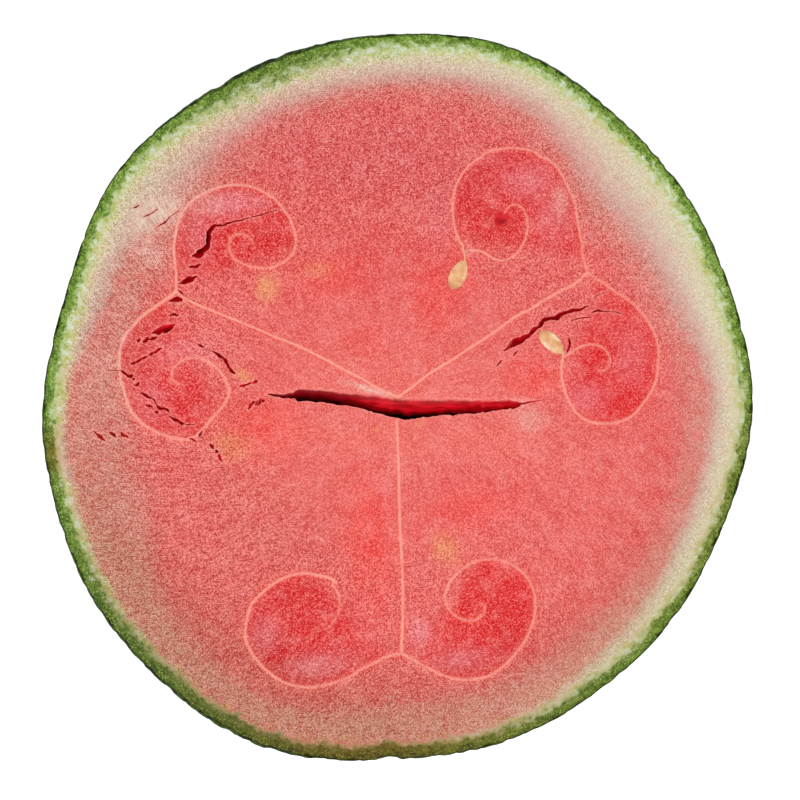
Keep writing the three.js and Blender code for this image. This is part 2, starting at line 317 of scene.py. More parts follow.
TEARS = [
    # The heart crack.
    ((0, -0.22), [(-39.2, 0.9, 0.5, 3), (-35, 0.6, 1.4, 8), (-31.4, 0.8, 2.2, 12), (-30.2, 0.9, 3.6, 13),
                  (-25, 0.6, 4.0, 17), (-21, 0.35, 4.1, 19), (-11.5, -1.0, 4.5, 23), (-4, -2.8, 4.9, 25.5),
                  (2.8, -3.5, 6.3, 27), (12.3, -3.0, 5.2, 25), (21.8, -2.9, 4.6, 20.5), (31.3, -2.3, 3.3, 13),
                  (36.8, -2.0, 2.5, 8), (38.2, -1.9, 1.0, 5), (41, -1.4, 0.6, 3), (44.4, -0.9, 0.3, 2)]),
    # The right tear, above the bare seed.
    ((0.1, -0.2), [(58.8, 28, 0.4, 2), (54.5, 26.8, 1.1, 6), (50, 25.2, 1.4, 9), (44.8, 23.2, 1.4, 11),
                   (43.6, 21.5, 1.1, 10), (39.5, 18.9, 1.5, 9), (36.2, 16.4, 1.9, 6), (32.8, 14.3, 0.5, 2)]),
    # The upper left tear, and two pockets below it.
    ((-0.1, 0.1), [(-45, 55, 0.4, 2), (-52, 53, 0.6, 4), (-55.8, 51.9, 1.0, 6), (-56.9, 49.6, 1.3, 7),
                   (-58.2, 46.2, 1.6, 7), (-60.6, 43.8, 2.0, 6), (-62.4, 43, 0.5, 2)]),
    ((0, 0.1), [(-61, 37.1, 0.4, 1.5), (-62.9, 35.9, 2.0, 5), (-64.8, 35.5, 1.7, 5),
                (-66.6, 34.7, 0.5, 1.5)]),
    ((0, -0.1), [(-67.4, 22.3, 0.6, 2), (-69.8, 21.3, 2.4, 6), (-72.2, 20.8, 2.6, 7), (-74.6, 19.5, 0.5, 2)]),
    # The tear inside the lower left curl.
    ((0, -0.1), [(-56.6, 14.4, 0.4, 1.5), (-54.3, 12.9, 1.0, 4), (-51.3, 9.9, 1.2, 5), (-50.1, 8.3, 1.4, 5),
                 (-49, 7.6, 0.4, 1.5)]),
    # Rows of short slanting rips, where the fibres tore one by one.
    *slashes((-79.6, 17.2), (-73.4, 18.8), 3, 24, 2.2),
    *slashes((-81.4, 10.4), (-72.4, 14.3), 5, 36, 2.4),
    *slashes((-45.4, -2.9), (-40.0, -0.4), 5, 58, 2.0),
    *slashes((-47.8, 3.6), (-42.0, 4.4), 2, 20, 3.0),
    *slashes((-57.0, -14.6), (-53.6, -19.0), 3, -50, 1.9),
    *slashes((-93.0, -11.6), (-81.0, -11.8), 3, -36, 3.4),
    *slashes((-79.4, 3.4), (-81.0, 5.8), 2, 45, 1.5),
    *slashes((-76.6, -2.2), (-72.6, -5.6), 2, -25, 2.2),
    # Three thin slits in the torn pale patch at the upper left.
    ((0, 0), [(-80.3, 57.8, 0.25, 0.8), (-79.4, 58.2, 0.5, 1.2), (-78.4, 58.8, 0.25, 0.8)]),
    ((0, 0), [(-77.5, 55.1, 0.25, 0.6), (-75.2, 56.2, 0.35, 1.0), (-72.9, 57.6, 0.35, 0.8)]),
    ((0, 0), [(-73.6, 51.8, 0.25, 0.6), (-71, 53.4, 0.45, 1.2), (-69, 55.4, 0.4, 1.0),
              (-66.6, 57.3, 0.25, 0.6)]),
    # Narrow ones on the left.
    ((0, 0), [(-35.5, 57.4, 0.2, 0.8), (-40, 56.3, 0.35, 1.5), (-44.4, 55.2, 0.35, 1.5)]),
    ((0, 0), [(-59.5, 40.6, 0.3, 1), (-61.5, 40, 1.1, 3), (-63.3, 39.6, 0.3, 1)]),
    ((0, 0), [(-66.6, 32.9, 0.3, 1), (-65.9, 32.2, 0.7, 2.5), (-65.1, 31.5, 0.3, 1)]),
    ((0, 0.2), [(-69.4, 29.1, 0.3, 1), (-67.5, 29.9, 1.7, 4), (-65.4, 29.4, 0.4, 1)]),
    ((0, 0), [(-69.7, 24.9, 0.3, 1), (-68, 25.5, 1.0, 3), (-66.6, 25, 0.3, 1)]),
    ((0, 0), [(-88.5, 8.2, 0.2, 0.8), (-86, 8.3, 0.3, 1.2), (-84.4, 8.1, 0.3, 1)]),
    ((0, 0), [(-84.3, 8.2, 0.3, 1), (-83, 7.2, 1.0, 3), (-81.6, 6.6, 1.4, 3), (-80.6, 7.2, 0.3, 1)]),
    ((0, -0.1), [(-78.4, 1.2, 0.3, 1), (-77, 1.0, 1.2, 3.5), (-75.5, 0.3, 0.9, 3), (-74.3, -0.7, 0.5, 2),
                 (-73.5, -2, 0.4, 1.6), (-72.5, -3, 0.9, 3), (-70.5, -3.7, 0.9, 3), (-69.3, -4.5, 0.4, 1.5)]),
    ((0, -0.1), [(-69.6, -5.6, 0.3, 1), (-68, -7, 0.9, 3), (-66, -7.9, 0.9, 3), (-64, -8.2, 0.4, 1.5),
                 (-61.5, -8.4, 0.25, 1)]),
    ((0, 0), [(-60.6, 15.9, 0.4, 1), (-59.7, 15.7, 1.1, 3), (-58.4, 15.4, 0.3, 1)]),
    ((0, 0), [(-59.3, -10.2, 0.3, 1), (-59.8, -11.4, 0.9, 2.5), (-60.3, -12.1, 0.3, 1)]),
    ((0, 0), [(-63.2, -12.8, 0.3, 1), (-62.2, -13.0, 0.7, 2), (-61.3, -13.3, 0.3, 1)]),
    # Narrow ones on the right.
    ((0, 0), [(59.7, 26, 0.3, 1), (61.2, 26.4, 0.7, 2), (63, 26.3, 0.4, 1.5), (66, 26.2, 0.3, 1),
              (69, 25.6, 0.2, 0.8)]),
    ((0, 0), [(53.4, 23.6, 0.2, 0.8), (55.2, 24, 0.5, 1.5), (57.5, 24.4, 0.5, 1.5), (59.6, 24.5, 0.2, 0.8)]),
    ((0, 0), [(60, 30, 0.15, 0.6), (62.5, 31.5, 0.25, 0.8), (65, 32.5, 0.15, 0.6)]),
    ((0, 0), [(35.2, 17.3, 0.2, 0.8), (34.2, 15.6, 0.5, 1.5), (33.5, 14.6, 0.2, 0.8)]),
    ((0, 0), [(37.3, 14.6, 0.2, 0.8), (36.2, 13.3, 0.5, 1.5), (35.6, 12.5, 0.2, 0.8)]),
    ((0, 0), [(32.2, 11.4, 0.2, 0.8), (31.1, 10, 0.5, 1.5), (30.1, 8.9, 0.2, 0.8)]),
    # The shadowed gap beside the bare seed.
    ((0, 0), [(52.9, 18.4, 0.3, 1), (52.8, 16.4, 0.8, 2.5), (52.2, 14.4, 0.7, 2), (52.3, 13.2, 0.2, 0.8)]),
]
print(len(TEARS), "tears, the deepest", max(depth for _, _, _, depth in TEARS[0][1]), "mm deep")

# %% [markdown]
# ## Ragged lips
# The stations give only the middle of each tear. Its two lips run half the width to either side, and noise
# pushes them in and out, so that they look torn and not cut. Narrow tears also sway, swell and thin out on
# the way. A wide tear keeps its stations as they are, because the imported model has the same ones.

# %% Lips of the tears
LIP_STEP = 0.42
WIDE = 3.0
THINNEST = 0.14


def torn_lips(stations, number):
    """The two ragged lips of a tear, and its middle line with widths and depths."""
    middle = smooth_line(stations, LIP_STEP)
    if middle[:, 2].max() < WIDE:
        vary = 1.1 / (1 + 0.8 * middle[:, 2])
        middle[:, 2] *= 1.0 + vary * wobble(middle[:, :2], 1.5, 140 + number)
        sway = 0.8 * np.minimum(middle[:, 2], 0.9) * wobble(middle[:, :2], 2.3, 180 + number)
        middle[:, :2] += sway[:, None] * side_of(middle)
        middle[:, 3] *= 0.8 + 0.9 * wobble(middle[:, :2], 1.7, 160 + number)
    half = np.maximum(middle[:, 2], THINNEST) / 2
    left = side_of(middle)
    lips = []
    for side in (1, -1):
        lip = middle[:, :2] + side * half[:, None] * left
        coarse = wobble(lip, 3.1, 40 + number + side) * np.minimum(0.3 * half, 0.3)
        fine = wobble(lip, 0.95, 80 + number + side) * np.minimum(0.1 + 0.3 * half, 0.32)
        tooth = np.maximum(coarse + fine, -0.8 * half)
        lips.append(lip + side * tooth[:, None] * left)
    return lips[0], lips[1], middle


tears = []
for number, (lean, stations) in enumerate(TEARS):
    left_lip, right_lip, middle = torn_lips(stations, number)
    outline = np.vstack([right_lip, left_lip[::-1]])
    tears.append({"lean": np.array(lean), "left": left_lip, "middle": middle, "outline": outline})
lip_points = np.vstack([tear["outline"] for tear in tears])
print(len(tears), "tears with", len(lip_points), "corners on their lips")

# %% [markdown]
# ## Finding the nearest line
# Much on the face depends on how far a place is from a wall or a tear. A k-d tree is a sorted index of
# points that finds the nearest one quickly, so a hundred thousand places take a second and not an hour.

# %% Nearest points


def tree_of(points):
    """An index of points by where they lie on the face."""
    tree = kdtree.KDTree(len(points))
    for index, (x, y) in enumerate(points[:, :2]):
        tree.insert((x, y, 0.0), index)
    tree.balance()
    return tree


def nearest(tree, places):
    """For each place, the distance to the nearest point of the tree and that point's number."""
    found = [tree.find((x, y, 0.0)) for x, y in places[:, :2]]
    return np.array([distance for _, _, distance in found]), np.array([index for _, index, _ in found])


wall_tree = tree_of(wall_points)
lip_tree = tree_of(lip_points)


def inside(outline, places):
    """True for places inside a closed outline: a ray to one side then crosses it an odd number of times."""
    x, y = places[:, 0][:, None], places[:, 1][:, None]
    start, end = outline, np.roll(outline, -1, axis=0)
    spans = (start[:, 1] > y) != (end[:, 1] > y)
    rise = np.where(end[:, 1] == start[:, 1], 1e-9, end[:, 1] - start[:, 1])
    crossing = start[:, 0] + (y - start[:, 1]) * (end[:, 0] - start[:, 0]) / rise
    return (spans & (x < crossing)).sum(axis=1) % 2 == 1


def inside_any_tear(places):
    """True for places in the gap of a tear. Only places near each tear are tried."""
    found = np.zeros(len(places), bool)
    for tear in tears:
        low, high = tear["outline"].min(axis=0), tear["outline"].max(axis=0)
        near = np.flatnonzero(((places > low) & (places < high)).all(axis=1))
        found[near] |= inside(tear["outline"], places[near])
    return found


print("a place in the heart crack is inside a tear:", bool(inside_any_tear(np.array([[5.0, -3.0]]))[0]))

# %% [markdown]
# ## Corners for the cut face
# The face could be one even grid, but the walls are under a millimetre wide and would need millions of
# triangles. So the corners are placed where the detail is: an open honeycomb over the plain flesh, a
# tighter one near the tears, and five rows that follow each wall, from which its ridge can rise.

# %% Corners of the face
RIM_CORNERS = 720
OPEN_SPACING = 0.9
TIGHT_SPACING = 0.5
WALL_ROWS = (-0.8, -0.4, 0.0, 0.4, 0.8)
# How far the honeycomb reaches past the face, and how wide its tighter part is around the lips.
MARGIN = 4.0
LIP_ZONE = 2.2
# Corners closer than this to the rim, a wall or a lip are left out, so that no triangle gets too thin.
RIM_GAP = 0.5
OPEN_WALL_GAP = 1.25
TIGHT_WALL_GAP = 1.0
TIGHT_LIP_GAP = 0.3
ROW_LIP_GAP = 0.25
# A row may lie this much closer to the walls than it was drawn.
ROW_SLACK = 0.08


def honeycomb(spacing):
    """Evenly spaced places over a square as wide as the face, every second row shifted by half a step."""
    reach = FACE_RADIUS + MARGIN
    across = np.arange(-reach, reach, spacing)
    rows = np.arange(-reach, reach, spacing * math.sqrt(3) / 2)
    x, y = np.meshgrid(across, rows)
    x[1::2] += spacing / 2
    return np.stack([x.ravel(), y.ravel()], axis=1)


rim_around = np.linspace(-math.pi, math.pi, RIM_CORNERS, endpoint=False)
directions = unit(rim_around)
rim_loop = AXIS + flesh_edge(rim_around)[:, None] * directions

rows = []
row_offsets = []
for line in wall_lines:
    thin = line[::2]
    left = side_of(thin)
    for offset in WALL_ROWS:
        rows.append(thin[:, :2] + offset * left)
        row_offsets.append(np.full(len(thin), abs(offset)))
rows = np.vstack(rows)
# In a tight bend a row can cross its own wall, and the corners that come too close to it are dropped.
rows = rows[nearest(wall_tree, rows)[0] > np.concatenate(row_offsets) - ROW_SLACK]
rows = rows[nearest(lip_tree, rows)[0] > ROW_LIP_GAP]

open_cells = honeycomb(OPEN_SPACING)
tight_cells = honeycomb(TIGHT_SPACING)
around, distance = polar(open_cells)
open_cells = open_cells[distance < flesh_edge(around) - RIM_GAP]
open_cells = open_cells[nearest(wall_tree, open_cells)[0] > OPEN_WALL_GAP]
open_cells = open_cells[nearest(lip_tree, open_cells)[0] > LIP_ZONE]
near_lips = nearest(lip_tree, tight_cells)[0]
tight_cells = tight_cells[(near_lips <= LIP_ZONE) & (near_lips > TIGHT_LIP_GAP)]
tight_cells = tight_cells[nearest(wall_tree, tight_cells)[0] > TIGHT_WALL_GAP]

loose = np.vstack([rows, open_cells, tight_cells])
loose = loose[~inside_any_tear(loose)]
face_places = np.vstack([rim_loop, lip_points, loose])
print(len(face_places), "corners on the cut face")

# %% [markdown]
# ## Joining the corners
# Delaunay triangulation joins loose corners into the best-shaped triangles. The edges that must be kept,
# the rim and the lips of the tears, are handed over as well. What it fills inside the tears is then taken
# out again.

# %% Triangles of the face


def loop_edges(first, count):
    """The edges of a closed loop of corners, numbered from first on."""
    return [(first + i, first + (i + 1) % count) for i in range(count)]


kept_edges = loop_edges(0, RIM_CORNERS)
first = RIM_CORNERS
for tear in tears:
    tear["first"] = first
    kept_edges += loop_edges(first, len(tear["outline"]))
    first += len(tear["outline"])
corners, _, triangles, merged_from, _, _ = delaunay_2d_cdt(
    [Vector(place) for place in face_places], kept_edges, [], 0, 1e-6
)
face_xy = np.array([(corner.x, corner.y) for corner in corners])
new_number = np.full(len(face_places), -1)
for number, olds in enumerate(merged_from):
    new_number[list(olds)] = number
triangles = np.array(triangles)
middles = face_xy[triangles].mean(axis=1)
around, distance = polar(middles)
triangles = triangles[(distance < flesh_edge(around) + 0.02) & ~inside_any_tear(middles)]
print(len(triangles), "triangles,", int((new_number < 0).sum()), "corners lost")

# %% [markdown]
# ## The lie of the face
# A knife leaves a face that is nearly flat, with faint swells. The walls stand up as low ridges, the flesh
# sinks a little around the seeds, and it rolls softly over the upper lip of the heart crack. Height is
# worked out as a plain function of place, so that every later piece of mesh that meets the face can ask for
# the same height.

# %% Height of the face
FACE_DROP = 0.42
RIDGE_HEIGHT = 0.2
RIDGE_WIDTH = 0.62
ROLL_WIDTH = 2.4
# Hollows: x, y, radius and depth.
HOLLOWS = [(32.2, 54.6, 2.6, 1.3), (-39.5, 33.5, 4.0, 0.25), (13, -67.5, 1.1, 0.5),
           (-74, 57, 3.5, 0.3), (49.0, 12.2, 1.1, 0.6), (20.0, 42.6, 1.1, 0.3)]
# The two bare seeds: x and y of the round end and of the tip, and the width.
SEEDS = {"seed_upper": ((17.0, 33.1), (21.0, 42.0), 5.7), "seed_right": ((44.0, 20.2), (51.0, 13.5), 5.4)}
SEED_HOLLOW = 0.15
heart = tears[0]
heart_tree = tree_of(heart["left"])


def wall_look(places):
    """Distance of each place from a wall's middle, as a share of its width, and how clearly the wall shows."""
    gap, index = nearest(wall_tree, places)
    return gap / (0.78 * wall_points[index, 2]), wall_points[index, 3]


def seed_gap(places, butt, tip, width):
    """Rough distance of each place from a seed's outline: from its middle line, less half its width."""
    ahead = np.array(tip) - butt
    share = np.clip(((places[:, :2] - butt) @ ahead) / (ahead @ ahead), 0.3, 0.75)
    return np.hypot(*(places[:, :2] - butt - share[:, None] * ahead).T) - width / 2


def face_height(places):
    """Height of the cut face over each place."""
    height = HEIGHT - FACE_DROP + 0.1 * wobble(places, 14, 1) + 0.07 * wobble(places, 3.2, 2)
    share, strength = wall_look(places)
    height += RIDGE_HEIGHT * strength * np.exp(-((share / RIDGE_WIDTH) ** 2))
    for x, y, radius, depth in HOLLOWS:
        away = np.hypot(places[:, 0] - x, places[:, 1] - y) / radius
        height -= depth * np.exp(-(away**2)) * (1 + 0.35 * wobble(places, 1.2, 5))
    for butt, tip, width in SEEDS.values():
        height -= SEED_HOLLOW * (1 - smooth_step(seed_gap(places, butt, tip, width), -0.3, 0.8))
    upper_gap = nearest(heart_tree, places)[0]
    above = places[:, 1] > np.interp(places[:, 0], heart["left"][:, 0], heart["left"][:, 1]) - 0.2
    roll = 0.1 + 0.9 * np.exp(-(((places[:, 0] + 4) / 8) ** 2)) + 0.3 * smooth_step(places[:, 0], 2, 9)
    height -= roll * above * np.clip(1 - upper_gap / ROLL_WIDTH, 0, 1) ** 2
    return height


face_z = face_height(face_xy)
print("the face lies from", round(face_z.min(), 2), "to", round(face_z.max(), 2), "mm high")

# %% [markdown]
# ## Down into the tears
# Each lip is a closed loop of corners that the face already has. Copies of the loop are lowered step by
# step and drawn towards the bottom line of the tear, with some roughness, and the last one is welded to
# that line. As the bottom runs off sideways, one wall lies open to the light and the other is hidden under
# its lip. Each wall also notes how it would look unrolled on a flat sheet, which is needed later.

# %% Walls of the tears
DEPTH_STEP = 2.0
# How soon a wall runs sideways and down. In a wide tear the open wall slants, and the hidden one is steep.
OPEN_SPREAD, HIDDEN_SPREAD = 0.62, 1.1
OPEN_DROP, HIDDEN_DROP = 1.45, 0.9


def square(x, y, width, height):
    """The corners of a small rectangle on a sheet, in the order of a face's corners."""
    return [(x, y), (x + width, y), (x + width, y + height), (x, y + height)]


def belt(first, second, turned=False):
    """The faces between two closed rings with as many corners each. Turned, they face the other way."""
    faces = []
    for i, (here, across) in enumerate(zip(first, second)):
        after, beyond = first[(i + 1) % len(first)], second[(i + 1) % len(second)]
        faces.append((here, across, beyond, after) if turned else (here, after, beyond, across))
    return faces


def tear_surface(tear, first_new):
    """Corners and faces from a tear's lips to its bottom. New corners are numbered from first_new on."""
    count = len(tear["outline"])
    half = count // 2
    station = np.concatenate([np.arange(half), np.arange(half)[::-1]])
    depth = tear["middle"][:, 3]
    away = tear["outline"] - tear["middle"][station, :2]
    open_side = (away @ tear["lean"] < 0) & (tear["middle"][:, 2].max() > WIDE)
    spread = np.where(open_side, OPEN_SPREAD, HIDDEN_SPREAD)
    drop = np.where(open_side, OPEN_DROP, HIDDEN_DROP)
    bottom_xy = tear["middle"][:, :2] + tear["lean"] * depth[:, None]
    bottom_z = HEIGHT - FACE_DROP - depth * (1 + 0.12 * wobble(tear["middle"][:, :2], 4, 9))
    lip = new_number[tear["first"] : tear["first"] + count]
    lip_z = face_z[lip]
    steps = max(int(round(depth.max() / DEPTH_STEP)), 2)
    made, faces, sheet, ring = [], [], [], list(lip)
    for step in range(1, steps):
        share = step / steps
        xy = tear["outline"] + (bottom_xy[station] - tear["outline"]) * (share**spread)[:, None]
        z = lip_z + (bottom_z[station] - lip_z) * share**drop
        rough = min(0.14 * tear["middle"][:, 2].max(), 0.8) * math.sin(math.pi * share)
        xyz = np.column_stack([xy, z])
        xyz[:, 1] += rough * wobble(xyz, 2.6, 11)
        xyz[:, 2] += rough * wobble(xyz, 1.9, 12)
        new = first_new + len(made) * count
        next_ring = list(range(new, new + count))
        faces += belt(ring, next_ring)
        sheet += [square(i / count, (step - 1) / steps, 1 / count, 1 / steps) for i in range(count)]
        made.append(xyz)
        ring = next_ring
    bottom = first_new + len(made) * count
    made.append(np.column_stack([bottom_xy, bottom_z]))
    for i in range(count):
        j = (i + 1) % count
        sides = 4 if station[i] != station[j] else 3
        faces.append((ring[i], ring[j], bottom + station[j], bottom + station[i])[:sides])
        sheet.append(square(i / count, (steps - 1) / steps, 1 / count, 1 / steps)[:sides])
    return np.vstack(made), faces, sheet


flesh_corners = [np.column_stack([face_xy, face_z])]
flesh_faces = [tuple(triangle) for triangle in triangles.tolist()]
sheets = []
for tear in tears:
    made, faces, sheet = tear_surface(tear, sum(map(len, flesh_corners)))
    flesh_corners.append(made)
    flesh_faces += [tuple(map(int, face)) for face in faces]
    sheets.append(sheet)
print("the tears add", sum(map(len, flesh_corners)) - len(face_xy), "corners")

# %% [markdown]
# ## Closing the flesh below
# Under the face the flesh is a plain dome that nobody sees, just inside the skin. It is there so that the
# piece is a closed body, as the real one is: rings of corners go down from the rim and meet in one point.

# %% Underside of the flesh
UNDER_RINGS = 12
INSIDE_SKIN = 0.45
FLESH_CREASE = 55
rest_latitude = -math.asin(1 - FLATTENED / POLE_RADIUS)
rim_dip = rim_dents(rim_around)


def level_ring(radius, height):
    """A ring of corners round the axis at one height, with a radius for each direction."""
    return np.column_stack([AXIS + radius[:, None] * directions, np.full(RIM_CORNERS, height)])


def fan(ring, tip, turned=False):
    """The triangles between a closed ring and one more corner. Turned, they face the other way."""
    pairs = zip(ring, [*ring[1:], ring[0]])
    return [(here, tip, after) if turned else (here, after, tip) for here, after in pairs]


ring = [int(number) for number in new_number[:RIM_CORNERS]]
for latitude in np.linspace(CUT_LATITUDE - 0.02, rest_latitude, UNDER_RINGS):
    radius = skin_radius(rim_around, latitude) - rim_dip - 2 * INSIDE_SKIN
    first_new = sum(map(len, flesh_corners))
    flesh_corners.append(level_ring(radius, max(float(skin_height(latitude)), INSIDE_SKIN)))
    lower = list(range(first_new, first_new + RIM_CORNERS))
    flesh_faces += belt(ring, lower, turned=True)
    ring = lower
flesh_faces += fan(ring, sum(map(len, flesh_corners)), turned=True)
flesh_corners.append(np.array([[*AXIS, INSIDE_SKIN]]))
flesh_corners = np.vstack(flesh_corners)


def new_piece(name, corners, faces, crease):
    """A smooth mesh object from corners in millimetres. Edges sharper than crease degrees stay sharp."""
    mesh = bpy.data.meshes.new(name)
    mesh.from_pydata((corners * MM).tolist(), [], faces)
    mesh.validate()
    mesh.shade_smooth()
    mesh.set_sharp_from_angle(angle=math.radians(crease))
    piece = bpy.data.objects.new(name, mesh)
    bpy.context.scene.collection.objects.link(piece)
    return piece


flesh = new_piece("flesh", flesh_corners, flesh_faces, FLESH_CREASE)
print("the flesh has", len(flesh_corners), "corners and", len(flesh_faces), "faces")

# %% [markdown]
# ## What the shader needs to know
# A shader only knows where a point is. What a melon's colour depends on is something else: how deep under
# the skin the point lies, how far the nearest wall is, how far down a tear it is, and how much light gets
# there. Such values are worked out here for each corner and stored on the mesh as attributes, which the
# material then reads and blends.

# %% Store values on the mesh


def store(piece, name, values):
    """Keeps one number for each corner of the piece under a name that a material can ask for."""
    layer = piece.data.attributes.new(name, "FLOAT", "POINT")
    layer.data.foreach_set("value", np.asarray(values, np.float32))


around, distance = polar(flesh_corners)
rim_depth = np.clip(skin_edge(around) - distance, 0, None)
share, strength = wall_look(flesh_corners)
store(flesh, "rim_depth", rim_depth)
store(flesh, "wall_gap", np.clip(share, 0, 3))
store(flesh, "wall_strength", strength)

# Low swells of the face don't count as depth. Corners inside a tear count as at least a little deep.
SWELL = 0.25
LEAST_DEPTH = 1.2
MOST_DEPTH = 40
below = np.clip(HEIGHT - FACE_DROP - flesh_corners[:, 2] - SWELL, 0, MOST_DEPTH)
below[len(face_xy) :] = np.maximum(below[len(face_xy) :], LEAST_DEPTH)
store(flesh, "depth", below)

# Painted light: the heart crack is shaded at its left and lit to its right. Other tears share one value.
HEART_Y = -2.5
HEART_LENGTH, HEART_WIDTH = 79.2, 18.0
OTHER_LIGHT = 0.6
in_heart = np.abs(flesh_corners[:, 0]) < HEART_LENGTH / 2
in_heart &= np.abs(flesh_corners[:, 1] - HEART_Y) < HEART_WIDTH / 2
heart_light = 0.1 + 0.7 * smooth_step(flesh_corners[:, 0], -24, 6)
store(flesh, "lit", np.where(in_heart, heart_light, OTHER_LIGHT))
store(flesh, "lip_gap", np.clip(nearest(lip_tree, flesh_corners)[0], 0, 6))
print("values stored for", len(flesh_corners), "corners")

# %% [markdown]
# ## Where the rind turns into flesh
# The white of the rind isn't equally thick. On the upper right it reaches far into the flesh and fades
# slowly, and at the lower left it is a narrow brownish band. Two short lists say how deep, in millimetres,
# the cream zone and the pale pink zone beyond it reach in sixteen directions. A third one says how thick
# the rind is, as a share of its usual thickness. They are read off in between.

# %% Cream and blush zones
ZONES = 16
ZONE_STEP = 360.0 / ZONES
CREAM_DEPTH = [13, 18.5, 21.5, 15, 14, 15.5, 19, 12.5, 7, 6.5, 4.5, 3.5, 4, 6, 9, 11]
BLUSH_DEPTH = [23, 28, 32, 23, 20, 24, 31, 27, 30, 29, 18, 15, 18, 19, 19, 19]
RIND_THICKNESS = [0.78, 0.85, 0.78, 0.78, 0.98, 1.3, 0.9, 0.87,
                  0.87, 0.87, 0.95, 1.0, 0.95, 0.87, 0.87, 0.78]
BLUSH_STRENGTH = 0.34


def around_the_clock(values, degrees):
    """Reads a list with one value for each of sixteen directions, at any direction, with soft steps."""
    position = (degrees % 360.0) / ZONE_STEP
    low = np.floor(position).astype(int)
    mix = smooth_step(position - low, 0, 1)
    values = np.array(values, float)
    return values[low % ZONES] * (1 - mix) + values[(low + 1) % ZONES] * mix


degrees = np.degrees(around)
cream = around_the_clock(CREAM_DEPTH, degrees)
blush = around_the_clock(BLUSH_DEPTH, degrees)
pallor = 1 - smooth_step(rim_depth, 0.3 * cream, 1.7 * cream)
faint = BLUSH_STRENGTH * (1 - smooth_step(rim_depth, 0.65 * blush, 1.25 * blush))
pallor = np.maximum(pallor, faint)
store(flesh, "pallor", pallor)
store(flesh, "rind_depth", rim_depth / around_the_clock(RIND_THICKNESS, degrees))
print("the pallor runs from", round(float(pallor.min()), 2), "to", round(float(pallor.max()), 2))

# %% [markdown]
# ## What differs from side to side
# The rest goes by direction too, in soft humps, so a list of sixteen would be more than it needs. The rind
# is olive brown where the melon lay, painted shade on two sides makes it darker and more olive, and it is warm
# where it is stained. The flesh is dull near those sides. Its grain is calm at the heart, and brushed outward
# where the knife dragged at it.

# %% Sides of the melon
olive = hump(degrees, 265, 33) + 0.8 * hump(degrees, 189, 4) + 0.45 * hump(degrees, 342, 24)
# Painted shade on the rind, by direction.
dim = hump(degrees, 240, 30) + 0.4 * hump(degrees, 212, 18) + 0.5 * hump(degrees, 298, 28)
dim += 0.55 * hump(degrees, 112, 18)
warm = hump(degrees, 195, 36) + 0.5 * hump(degrees, 325, 28)

dull = hump(degrees, 252, 44) + 0.12 * hump(degrees, 190, 30) + 0.4 * hump(degrees, 318, 30)
dull = dull.clip(0, 1) * (1 - smooth_step(rim_depth, 12, 40))
dull += 0.3 * hump(degrees, 95, 40) * hump(distance, 75, 22)
dull += 0.3 * hump(degrees, 222, 40) * smooth_step(distance, 25, 55)
dull += 0.35 * hump(degrees, 220, 24) * smooth_step(distance, 85, 100)
dull += 0.2 * hump(degrees, 145, 25) * smooth_step(distance, 70, 85)

brushed = hump(degrees, 175, 62) * smooth_step(distance, 42, 75)
brushed = np.maximum(brushed, 0.7 * hump(degrees, 328, 26) * smooth_step(distance, 35, 70))
calm = 0.3 * (1 - smooth_step(distance, 35, 60))
calm += 0.3 * hump(degrees, -22, 40) * smooth_step(distance, 40, 60)
calm = np.maximum(calm, 0.45 * hump(degrees, 25, 70) * smooth_step(pallor, 0.35, 0.75))

store(flesh, "olive", olive)
store(flesh, "dim", dim)
store(flesh, "warm", warm)
store(flesh, "dull", dull.clip(0, 1))
store(flesh, "brushed", brushed)
print("the dullest flesh has", round(float(dull.max()), 2), "of the full shade")

# %% [markdown]
# ## Blotches
# Ripe flesh is blotchy. Each blotch is an ellipse with a soft edge: x, y, half length, half width, turn in
# degrees and strength. They are sorted by what they do: crimson is the deep pink inside the curls, ember
# the warm red, peach the paler orange pink, and straw the yellowish tint over a seed that lies just below.
# Scuff is flesh that was rubbed pale, and bloom a thin milky pink. The torn patch at the upper left has its
# own colour.

